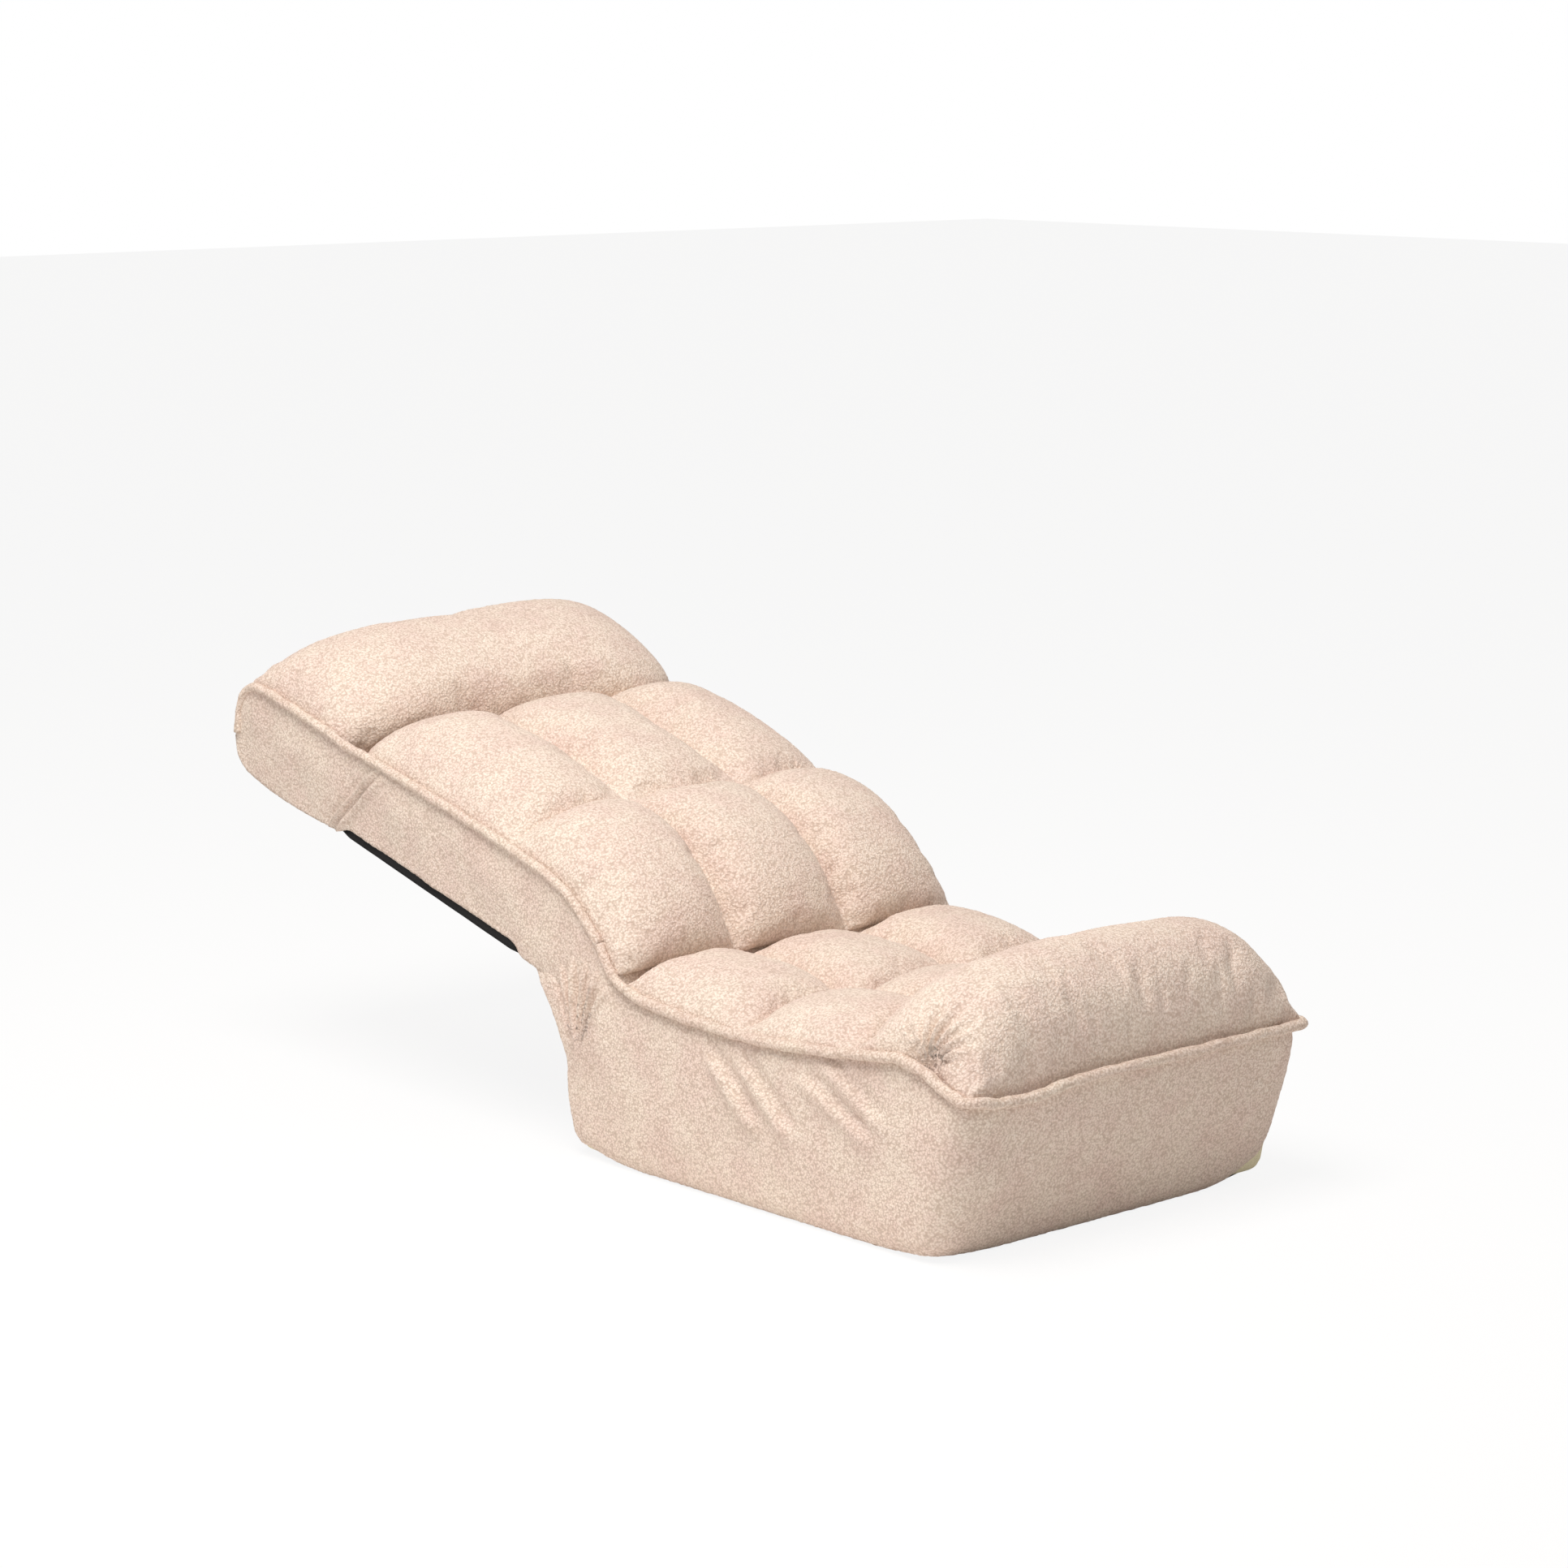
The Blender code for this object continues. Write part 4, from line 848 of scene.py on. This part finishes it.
def cord_along(name, points, radius, seed):
    """A soft fleece cord along points, a little uneven as sewn piping is."""
    path = smooth_line(points, 8)
    run = np.concatenate([[0], np.cumsum(np.linalg.norm(np.diff(path, axis=0), axis=1))])
    count = max(int(run[-1] / 0.004), 4)
    path = along(path, np.linspace(0, 1, count))
    far = np.linspace(0, run[-1], count)
    deselect()
    bpy.ops.curve.primitive_bezier_curve_add()
    obj = bpy.context.object
    obj.name = name
    curve = obj.data
    curve.splines.clear()
    curve.dimensions = "3D"
    curve.bevel_depth = radius
    curve.bevel_resolution = 4
    curve.use_fill_caps = True
    spline = curve.splines.new("POLY")
    spline.points.add(count - 1)
    wander = 0.0005 * waves(seed, 0.05, far)
    lift = 0.0005 * waves(seed + 1, 0.06, far)
    thick = 1 + 0.05 * waves(seed + 2, 0.03, far)
    for point, place, a, b, c in zip(spline.points, path, wander, lift, thick):
        point.co = (place[0] + a * 0.5, place[1], place[2] + b, 1)
        point.radius = c
    bpy.ops.object.convert(target="MESH")
    obj = bpy.context.object
    obj.data.name = name
    outward(obj)
    pile(obj, 0.0012, 0.0035)
    dress(obj, PIPING)
    return obj


def seat_piping():
    side = [(-PIPE_X, y, z) for y, z in along(SEAT_PIPE_LINE, np.linspace(0, 0.975, 24))]
    front_y = FRONT_TOP_Y - 0.0045
    bend = 0.020
    turn = [
        (-PIPE_X + bend * (1 - math.cos(a)), front_y + bend * (1 - math.sin(a)), front_height(-PIPE_X))
        for a in (0.35, 0.8, 1.25)
    ]
    left = side + turn
    front = [
        (x, front_y - 0.003 * (1 - (x / HALF) ** 2), front_height(x))
        for x in np.linspace(-0.235, 0.235, 15)
    ]
    right = [
        (-x, y, front_height(-x) if k < len(turn) else z) for k, (x, y, z) in enumerate(reversed(left))
    ]
    obj = cord_along("seat_piping_cord", left + front + right, PIPE_R + 0.0006, 51)
    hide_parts("seat_piping")
    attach(obj, "base")


def back_piping(word, side):
    line = [tuple(from_back(side * PIPE_X, u, v)) for u, v in along(BACK_PIPE_LINE, np.linspace(0, 1, 20))]
    obj = cord_along(f"back_piping_cord_{word}", line, PIPE_R, 52 + side)
    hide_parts(f"back_piping_{word}")
    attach(obj, "back")


def crease_piping(word, side):
    start = SEAT_PIPE_LINE[0]
    end = from_back(0.0, *BACK_PIPE_LINE[0])[1:]
    line = [(side * PIPE_X, y, z) for y, z in (start, (CREASE_Y, CREASE_Z), end)]
    obj = cord_along(f"crease_piping_cord_{word}", line, PIPE_R, 55 + side)
    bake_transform(obj)


def head_piping():
    near = HEAD_AT + 0.040
    end = HEAD_AT + HEAD_LENGTH
    run = [
        (near, TOP), (HEAD_AT + 0.15, TOP), (end - 0.045, TOP - 0.001), (end - 0.018, TOP - 0.006),
        (end - 0.002, TOP - 0.022), (end + 0.003, TOP - 0.045), (end + 0.001, 0.010),
    ]
    made = []
    for side in (-1, 1):
        line = [tuple(from_back(side * PIPE_X, u, v)) for u, v in run]
        made.append(cord_along("head_piping_cord", line, PIPE_R, 60 + side))
    deselect()
    for piece in made:
        piece.select_set(True)
    bpy.context.view_layer.objects.active = made[0]
    bpy.ops.object.join()
    obj = bpy.context.object
    obj.name = "head_piping_cord"
    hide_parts("head_piping")
    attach(obj, "head")


def head_crossing(word, side):
    line = [tuple(from_back(side * PIPE_X, HEAD_AT + u, v))
            for u, v in ((-0.040, TOP), (-0.015, TOP - 0.002), (0.015, TOP - 0.002), (0.040, TOP))]
    obj = cord_along(f"head_crossing_cord_{word}", line, PIPE_R, 65 + side)
    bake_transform(obj)


seat_piping()
head_piping()
for word, side in (("left", -1), ("right", 1)):
    back_piping(word, side)
    crease_piping(word, side)
    head_crossing(word, side)


# Base cover


def finish_cover(obj, material=FLEECE, nap=NAP):
    """Gives a cover with a wall its curls, where it has any, and its finish."""
    if nap:
        pile(obj, nap)
    else:
        obj.data.shade_smooth()
    dress(obj, material)


# Where the hinge's gathers begin, as a share of the side from its front corner
FAN_AT = 0.853
# How the middle of the rear runs up from its foot to the back's underside, and its corners
REAR_PATH = np.array((
    (0.327, 0.0), (0.336, 0.05), (0.342, 0.112), (0.354, 0.143), (0.370, 0.172), (0.392, 0.204),
    (0.4165, 0.2316),
)) + (REAR_FOOT_Y - 0.320, HINGE_Z - 0.222)
REAR_CORNER = 0.018
# From the front's middle to the rear's: the ends of the front, corner, side, gathers, corner and rear
STATIONS = np.array((0, 0.20, 0.24, 0.62, 0.80, 0.84, 1.0))
# The share of the cover's height that is tucked under, and how round its foot is
TUCK = 0.08
FOOT_ROUND = 0.012
# How far the cover's edge lies below the middle of the piping
UNDER_PIPING = 0.003
# Loose diagonal folds under the seat's piping: upper end, lower end and height
SIDE_FOLDS = (
    ((0.060, 0.174), (-0.025, 0.097), 0.0095), ((0.002, 0.173), (-0.087, 0.098), 0.0085),
    ((-0.099, 0.173), (-0.223, 0.118), 0.006), ((-0.136, 0.199), (-0.239, 0.140), 0.005),
)
# The gathers: where each lies in their spread, and how deep it is beside the others
GATHERS = ((1.36, 0.8), (1.02, 1.1), (0.66, 0.8), (0.33, 1.2), (0.06, 0.8))


def base_cover():
    """One fleece band round the base. Its sides and rear run on as gathers over the hinge to the back."""
    obj, across, height = cloth_grid("base_cover", 520, 64)
    q = across * 2 - 1
    side = np.where(q < 0, -1.0, 1.0)
    q = np.abs(q)
    part = np.clip(np.searchsorted(STATIONS, q, side="right") - 1, 0, 5)
    local = (q - STATIONS[part]) / (STATIONS[part + 1] - STATIONS[part])
    turn = np.where(part == 1, local, np.where(part >= 2, 1.0, 0.0)) + np.where(part == 4, local, 0)
    turn += np.where(part == 5, 1.0, 0)
    turn *= math.pi / 2
    nx = np.sin(turn)
    ny = -np.cos(turn)
    corner = np.where(part >= 3, REAR_CORNER, CORNER)
    core_x = HALF - corner
    x_core = np.where(part == 0, local * core_x, np.where(part == 5, (1 - local) * core_x, core_x))
    # share along the side from the front corner to the rear corner
    a = np.where(part == 2, local * FAN_AT, np.where(part == 3, FAN_AT + local * (1 - FAN_AT), 0.0))
    a = np.where(part >= 4, 1.0, a)
    w = np.clip((height - TUCK) / (1 - TUCK), 0, 1)
    foot_run = REAR_FOOT_Y - FRONT_FOOT_Y - 2 * CORNER
    foot_y = FRONT_FOOT_Y + CORNER + a * foot_run
    plain = np.minimum(a / FAN_AT, 1)
    top_y = FRONT_TOP_Y + CORNER + plain * (CREASE_Y - FRONT_TOP_Y - CORNER)
    crease_z = CREASE_Z - 0.004
    pipe_end = (piping_height(PIPE_REAR_Y) - UNDER_PIPING, crease_z)
    past_pipe = np.interp(top_y, (PIPE_REAR_Y, CREASE_Y), pipe_end)
    top_z = np.where(top_y > PIPE_REAR_Y, past_pipe, piping_height(top_y) - UNDER_PIPING)
    top_z = np.where(a >= FAN_AT, crease_z, top_z)
    corner_z = piping_height(FRONT_TOP_Y + CORNER * (1 - np.cos(turn)))
    front_z = front_height(x_core * side)
    front_z = np.where(part == 1, front_z + (corner_z - front_z) * local, front_z) - UNDER_PIPING
    top_z = np.where(part <= 1, front_z, top_z)
    y = foot_y + (top_y - foot_y) * w
    z = top_z * w
    # the gathers: paths swing from the side's straight one to the rear's curved one
    fan = np.where(part >= 4, 1.0, np.where(part == 3, local, 0.0))
    rear = along(smooth_line(REAR_PATH), w)
    straight_y = FRONT_FOOT_Y + CORNER + FAN_AT * foot_run
    base_y = straight_y + (CREASE_Y - straight_y) * w
    base_z = crease_z * w
    fan_y = base_y + (rear[:, 0] - REAR_CORNER - base_y) * fan
    fan_z = base_z + (rear[:, 1] - base_z) * fan
    hump = 0.046 * np.sin(math.pi * np.clip(fan, 0, 1)) * w**3
    in_fan = part >= 3
    y = np.where(in_fan, fan_y - hump * math.sin(RISE), y)
    z = np.where(in_fan, fan_z + hump * math.cos(RISE), z)
    # slight bulges outwards
    belly = np.sin(math.pi * np.clip(z / FRONT_TOP, 0, 1)) ** 0.8
    out = 0.0005 + 0.006 * belly * np.where(part == 0, 1.2, 1.0) * (1 - 0.7 * fan)
    on_side = (nx > 0.8) & (part < 3)
    shift = np.where(side < 0, 0.0, 0.07)
    for start, end, size in SIDE_FOLDS:
        out += np.where(on_side, size * crease_line(y + shift, z, start, end, 0.010), 0)
        out -= np.where(on_side, 0.7 * size * crease_line(y + shift, z - 0.017, start, end, 0.009), 0)
    out += 0.0012 * waves(72, 0.09, q * 1.1 + side * 3, z) * belly
    # the gathers spread from the rear shoulder up to the crease and the back
    spread = (0.85 - fan) / np.maximum(w - 0.42, 0.08)
    fold = 0
    chance = np.random.default_rng(71)
    for at, deep in GATHERS:
        at = at + chance.uniform(-0.03, 0.03) + np.where(side < 0, 0, 0.06)
        groove = bell((spread - at) / 0.10)
        ridge = bell((spread - at - 0.17) / 0.10)
        fold = fold + deep * groove - 0.8 * deep * ridge
    fade = ease((w - 0.50) / 0.22) * ease((1 - w) / 0.17) * ease(fan / 0.12) * ease((1 - fan) / 0.10)
    sideways = np.where(in_fan, nx, 0) ** 2
    out = out - 0.0085 * fold * fade
    out += 0.0045 * ease((w - 0.4) / 0.2) * ease(fan / 0.3) * sideways
    out -= np.where(in_fan, 0.0085 * ease((w - 0.84) / 0.16), 0) * ease(fan / 0.2) * sideways
    # the top edge is drawn in under the piping
    drawn = np.where(part <= 2, 1.0, np.where(part == 3, 1 - ease(fan / 0.25), 0.0))
    out -= 0.0045 * ease((w - 0.90) / 0.10) * drawn
    # folds of the rear run up and down
    behind = np.where(part == 5, 1.0, np.where(part == 4, local, 0.0))
    ripple = behind * 0.0045 * waves(73, 0.05, x_core * side, count=5)
    out += ripple * ease((w - 0.35) / 0.3) * ease((1 - w) / 0.15)
    x = (x_core + nx * (corner + out)) * side
    front_y = FRONT_FOOT_Y + (FRONT_TOP_Y - FRONT_FOOT_Y) * (z / FRONT_TOP) + CORNER
    y = np.where(part <= 1, front_y, y) + ny * (corner + out)
    # the foot: rounded, tucked under, with lifted corners
    under = np.clip(1 - height / TUCK, 0, 1)
    rounded = ease((FOOT_ROUND * 1.6 - z) / (FOOT_ROUND * 1.6)) * (1 - under)
    inset = FOOT_ROUND * 0.45 * rounded**2 + under * 0.034
    x -= nx * side * inset
    y -= ny * inset
    at_side = bell((np.abs(x) - HALF) / 0.06)
    front_corner = at_side * bell((y - FRONT_FOOT_Y) / 0.06) * np.where(side < 0, 0.006, 0.022)
    rear_corner = at_side * bell((y - REAR_FOOT_Y) / 0.06) * 0.014
    z = z + (front_corner + rear_corner) * (1 - ease(z / 0.12)) + 0.0015 + 0.001 * under
    move_points(obj, np.stack([x, y, z], -1))
    cut = give_wall(obj, across, FLEECE_WALL)
    outward(obj)
    finish_cover(obj)
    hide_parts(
        "base_side_panel_left", "base_side_panel_right", "base_front_panel", "base_rear_panel",
        "hinge_gusset_left", "hinge_gusset_right", "hinge_gusset_rear",
    )
    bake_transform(obj)


base_cover()


# Back and head covers

# Where the side covers begin, where the black cloth under the back begins, and where its strip shows
SIDE_START = -0.027
UNDERSIDE_START = 0.105
STRIP_START = 0.150


def side_top(u):
    """The upper edge of a side cover, just under the piping of the back and the head."""
    over = np.interp(u, BACK_PIPE_LINE[:, 0], BACK_PIPE_LINE[:, 1])
    return np.where(u > HEAD_AT - 0.04, TOP, over) - 0.002


def back_side_cover(word, side):
    """The fleece side of the back and head in one, with folds of slack cloth over the head hinge."""
    obj, across, height = cloth_grid(f"back_side_cover_{word}", 230, 34)
    end = HEAD_AT + HEAD_LENGTH
    u = SIDE_START + (end - SIDE_START) * across
    shoulder = np.interp(u, (SIDE_START, PIPE_START), (0.010, TOP - 0.043))
    top = np.where(u < PIPE_START, shoulder, side_top(u))
    hem = 0.0125 * ease((u - STRIP_START) / 0.03) * ease((HEAD_AT - 0.006 - u) / 0.03)
    # below the hinge the front edge is round about its axis
    low = np.where(u < 0, UNDER + round_off(-UNDER, u / -UNDER), UNDER - 0.001 + hem)
    sag = 0.008 * np.sin(math.pi * np.clip((u - HEAD_AT) / HEAD_LENGTH, 0, 1))
    low = low - np.where(u > HEAD_AT, sag, 0)
    v = low + (top - low) * height
    # the head's end: a round lower corner and a soft upper one
    to_end = end - u
    lower = low + round_off(0.034, np.clip(1 - to_end / 0.034, 0, 1))
    v = np.where(v < low + 0.034, np.maximum(v, lower), v)
    v = np.minimum(v, top - round_off(0.030, np.clip(1 - to_end / 0.030, 0, 1)))
    bulge = np.sin(math.pi * np.clip((v - UNDER) / (TOP - UNDER), 0, 1))
    u = u + np.where(to_end < 0.05, 0.006 * bulge * (1 - to_end / 0.05), 0)
    share = np.clip((v - low) / np.maximum(top - low, 1e-4), 0, 1)
    out = 0.0005 + 0.0035 * np.sin(math.pi * share)
    out += 0.0012 * waves(81 + side, 0.08, u, v)
    for shift in (0.0, 0.017):
        foot = (HEAD_AT - 0.006 + shift, UNDER - 0.004)
        tip = (HEAD_AT - 0.088 + shift, TOP - 0.006)
        out += 0.0062 * crease_line(u, v, foot, tip, 0.0056)
        out -= 0.0050 * crease_line(u - 0.009, v, foot, tip, 0.0042)
    out = np.maximum(np.where(share > 0.93, np.minimum(out, 0.001), out), 0.0006)
    # its lower front edge goes in under the gathers of the base cover
    out -= 0.007 * ease((-0.006 - u) / 0.014)
    move_points(obj, from_back(side * (HALF + out), u, v))
    cut = give_wall(obj, across, SIDE_WALL, face=(side, 0, 0))
    finish_cover(obj)
    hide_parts(f"back_side_panel_{word}", f"head_side_panel_{word}", f"head_gusset_{word}")
    near = back_world(HEAD_AT - 0.055, 0)
    far = back_world(HEAD_AT + 0.03, 0)
    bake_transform(obj)


def head_end_cover():
    """Fleece that wraps the head's underside and end, up to the roll."""
    obj, across, length = cloth_grid("head_end_cover", 120, 80)
    end = HEAD_AT + HEAD_LENGTH
    line = smooth_line((
        (HEAD_AT + 0.001, UNDER - 0.0015), (HEAD_AT + 0.06, UNDER - 0.007), (HEAD_AT + 0.12, UNDER - 0.010),
        (end - 0.055, UNDER - 0.008), (end - 0.028, UNDER - 0.003), (end - 0.009, UNDER + 0.010),
        (end + 0.001, UNDER + 0.030), (end + 0.007, 0.030), (end + 0.005, TOP - 0.032),
        (end - 0.003, TOP - 0.014), (end - 0.008, TOP - 0.006),
    ))
    at = along(line, length)
    out = 0.0015 * waves(91, 0.1, across * 0.56, length * 0.3)
    normal = beside(line, length)
    edge = 1 - np.abs(across * 2 - 1) ** 8
    at = at - normal * (out * edge)[:, None]
    x = (across * 2 - 1) * (HALF - 0.0005)
    move_points(obj, from_back(x, at[:, 0], at[:, 1]))
    cut = give_wall(obj, across, FLEECE_WALL, face=(0, 0, -1))
    finish_cover(obj)
    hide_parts("head_end_panel")
    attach(obj, "head")


def back_underside():
    """The black cloth under the back, turned up at its sides, which runs on under the head's fleece."""
    obj, across, length = cloth_grid("back_underside_cover", 140, 110)
    u = UNDERSIDE_START + (HEAD_AT + 0.028 - UNDERSIDE_START) * length
    line = smooth_line((
        (-HALF + 0.0012, UNDER + 0.022), (-HALF + 0.0008, UNDER + 0.006), (-HALF + 0.004, UNDER),
        (-0.2, UNDER + 0.0005), (0, UNDER + 0.0012), (0.2, UNDER + 0.0005), (HALF - 0.004, UNDER),
        (HALF - 0.0008, UNDER + 0.006), (HALF - 0.0012, UNDER + 0.022),
    ), 30)
    at = along(line, across)
    flat = 1 - np.abs(at[:, 0] / HALF) ** 10
    v = at[:, 1] + 0.0009 * waves(95, 0.07, at[:, 0], u) * flat
    v = np.where(u > HEAD_AT - 0.002, v + 0.004 * ease((u - HEAD_AT + 0.002) / 0.01), v)
    # it is a little narrower where the fleece hides it
    hidden = 1 - ease((u - STRIP_START) / 0.03) * ease((HEAD_AT - 0.010 - u) / 0.03)
    move_points(obj, from_back(at[:, 0] * (1 - 0.018 * hidden), u, v))
    cut = give_wall(obj, across, THIN_WALL, face=(0, 0, -1))
    finish_cover(obj, NONWOVEN, nap=0)
    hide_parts("back_underside_cloth")
    near = back_world(HEAD_AT - 0.020, UNDER)
    far = back_world(HEAD_AT + 0.020, UNDER)
    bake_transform(obj)


for word, side in (("left", -1), ("right", 1)):
    back_side_cover(word, side)
head_end_cover()
back_underside()


# The lining of the notch: how far it reaches to each side of the head's hinge, and its height
NOTCH_HALF = 0.0205
NOTCH_FLOOR = TOP - 0.0445


def crease_cover():
    """Fleece behind the crease between seat and back, round the hinge axis."""
    obj, across, length = cloth_grid("crease_cover", 90, 24)
    angle = np.radians(108 + 66 * length)
    radius = 0.0335 + 0.0006 * waves(97, 0.05, across * 0.55, length * 0.05)
    x = (across * 2 - 1) * (HALF - 0.0035)
    move_points(obj, np.stack([x, HINGE_Y + radius * np.cos(angle), HINGE_Z + radius * np.sin(angle)], -1))
    cut = give_wall(obj, across, LINING_WALL)
    finish_cover(obj, nap=LINING_NAP)
    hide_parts("crease_lining")
    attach(obj, "base")


def head_notch_lining():
    """Fleece along the bottom of the notch between the back and the head, over their hinge."""
    obj, across, length = cloth_grid("head_notch_lining", 90, 16)
    u = HEAD_AT + NOTCH_HALF * (length * 2 - 1)
    v = NOTCH_FLOOR - 0.004 * np.sin(math.pi * length)
    move_points(obj, from_back((across * 2 - 1) * (HALF - 0.0035), u, v))
    cut = give_wall(obj, across, LINING_WALL)
    finish_cover(obj, nap=LINING_NAP)
    near = back_world(HEAD_AT - NOTCH_HALF, NOTCH_FLOOR)
    far = back_world(HEAD_AT + NOTCH_HALF, NOTCH_FLOOR)
    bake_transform(obj)


def base_underside():
    """The dotted cloth under the base, flat on the floor and drawn up a little at its corners."""
    obj, across, length = cloth_grid("base_underside_cover", 100, 112)
    x = (across * 2 - 1) * (HALF - 0.012)
    y = FRONT_FOOT_Y + 0.012 + (REAR_FOOT_Y - FRONT_FOOT_Y - 0.024) * length
    near = bell((np.abs(x) - HALF) / 0.05) * bell((np.abs(y) - REAR_FOOT_Y) / 0.05)
    flat = 0.0027 * ease((HALF - 0.05 - np.abs(x)) / 0.02) * ease((REAR_FOOT_Y - 0.05 - np.abs(y)) / 0.02)
    move_points(obj, np.stack([x, y, 0.0042 + 0.010 * near - flat], -1))
    cut = cut_size(obj, across)
    add_wall(obj, THIN_WALL)
    outward(obj)
    finish_cover(obj, NONSLIP, nap=0)
    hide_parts("base_bottom_cloth")
    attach(obj, "base")


crease_cover()
head_notch_lining()
base_underside()


# Frame finishes

def frame_material(name):
    """The finish of a solid that stays as it is, by what its name says."""
    if "foam" in name:
        return FOAM
    if "webbing" in name:
        return WEBBING
    if "rail" in name or "crossbar" in name:
        return POWDER_COAT
    if "spring" in name:
        return SPRING
    return ZINC


def foam_block(name, body, voxel, slim):
    """The foam with its edges worn round as they are inside a tight cover, from a copy of its solid."""
    deselect()
    obj = frame["nodes"][name].copy()
    obj.data = obj.data.copy()
    obj.animation_data_clear()
    bpy.context.scene.collection.objects.link(obj)
    for key in list(obj.keys()):
        del obj[key]
    obj.name = f"{name}_block"
    obj.data.name = obj.name
    obj.parent = None
    outward(obj)
    step = obj.modifiers.new("remesh", "REMESH")
    step.mode = "VOXEL"
    step.voxel_size = voxel
    step = obj.modifiers.new("slim", "DISPLACE")
    step.strength = -slim
    step.mid_level = 0
    step = obj.modifiers.new("round", "SMOOTH")
    step.factor = 0.5
    step.iterations = 16
    apply_all(obj)
    obj.data.shade_smooth()
    dress(obj, FOAM)
    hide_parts(name)
    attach(obj, body)


foam_block("base_foam", "base", 0.007, 0.003)
foam_block("back_foam", "back", 0.005, 0.0015)
foam_block("head_foam", "head", 0.005, 0.0015)

for name, obj in frame["nodes"].items():
    if not obj.hide_render:
        dress(obj, frame_material(name))


# Floor, light and camera

def studio():
    """A wide white floor that keeps the chair's shadow, under a soft white surround."""
    deselect()
    bpy.ops.mesh.primitive_plane_add(size=40, location=(0, 0, -0.0006))
    floor = bpy.context.object
    floor.name = "studio_floor"
    made, tree, shader = new_material("white_studio_floor")
    shader.inputs["Base Color"].default_value = linear("#F4F3F1")
    shader.inputs["Roughness"].default_value = 0.9
    shader.inputs["Specular IOR Level"].default_value = 0.1
    path = node(tree, "LightPath")
    seen = node(tree, "Math", {"operation": "MULTIPLY", 1: 0.88}, i0=path.outputs["Is Camera Ray"])
    glow = node(tree, "Emission", {"Color": (1, 1, 1, 1), "Strength": 1.0})
    mixed = node(tree, "MixShader", i0=seen, i1=shader, i2=glow)
    tree.links.new(mixed.outputs[0], tree.nodes["Material Output"].inputs["Surface"])
    dress(floor, made)

    world = bpy.data.worlds.new("studio")
    bpy.context.scene.world = world
    world.use_nodes = True
    tree = world.node_tree
    path = node(tree, "LightPath")
    seen = node(tree, "Math", {"operation": "MAXIMUM"}, i0=path.outputs["Is Camera Ray"],
                i1=path.outputs["Is Glossy Ray"])
    seen = node(tree, "Math", {"operation": "MAXIMUM"}, i0=seen,
                i1=path.outputs["Is Transmission Ray"])
    white = node(tree, "Background", {"Color": (1, 1, 1, 1), "Strength": 1.0})
    soft = node(tree, "Background", {"Color": linear("#FFFCFA"), "Strength": 0.40})
    mixed = node(tree, "MixShader", i0=seen, i1=soft, i2=white)
    tree.links.new(mixed.outputs[0], tree.nodes["World Output"].inputs["Surface"])


def softbox(name, location, target, size, power, colour):
    """A square area lamp that faces a point."""
    bpy.ops.object.light_add(type="AREA", location=location)
    lamp = bpy.context.object
    lamp.name = name
    lamp.data.size = size
    lamp.data.energy = power
    lamp.data.color = linear(colour)[:3]
    lamp.rotation_euler = (Vector(target) - Vector(location)).to_track_quat("-Z", "Y").to_euler()


# The photograph's camera: its angles in degrees, the point it looks at, how far away it stands, and its
# lens and the photograph's width in pixels
AZIMUTH = -42.01
ELEVATION = 10.26
TARGET = (0, 0.243, 0.441)
DISTANCE = 5.065
LENS_PX = 5000
PHOTO_PX = 1932
SENSOR = 36


def camera():
    turn = math.radians(AZIMUTH)
    lift = math.radians(ELEVATION)
    away = Vector((math.sin(turn) * math.cos(lift), -math.cos(turn) * math.cos(lift), math.sin(lift)))
    bpy.ops.object.camera_add(location=Vector(TARGET) + away * DISTANCE)
    eye = bpy.context.object
    eye.name = "photo_camera"
    eye.data.lens = SENSOR * LENS_PX / PHOTO_PX
    eye.data.sensor_width = SENSOR
    eye.rotation_euler = (-away).to_track_quat("-Z", "Y").to_euler()
    eye.data.clip_end = 60
    bpy.context.scene.camera = eye


studio()
softbox("key_softbox", (-1.30, -0.16, 3.2), (0, 0.15, 0.3), 1.8, 105, "#FFFAF6")
softbox("side_fill", (-3.4, -0.7, 1.5), (0, 0.2, 0.3), 2.4, 9, "#FFFAF8")
camera()
bpy.context.scene.view_settings.view_transform = "Standard"
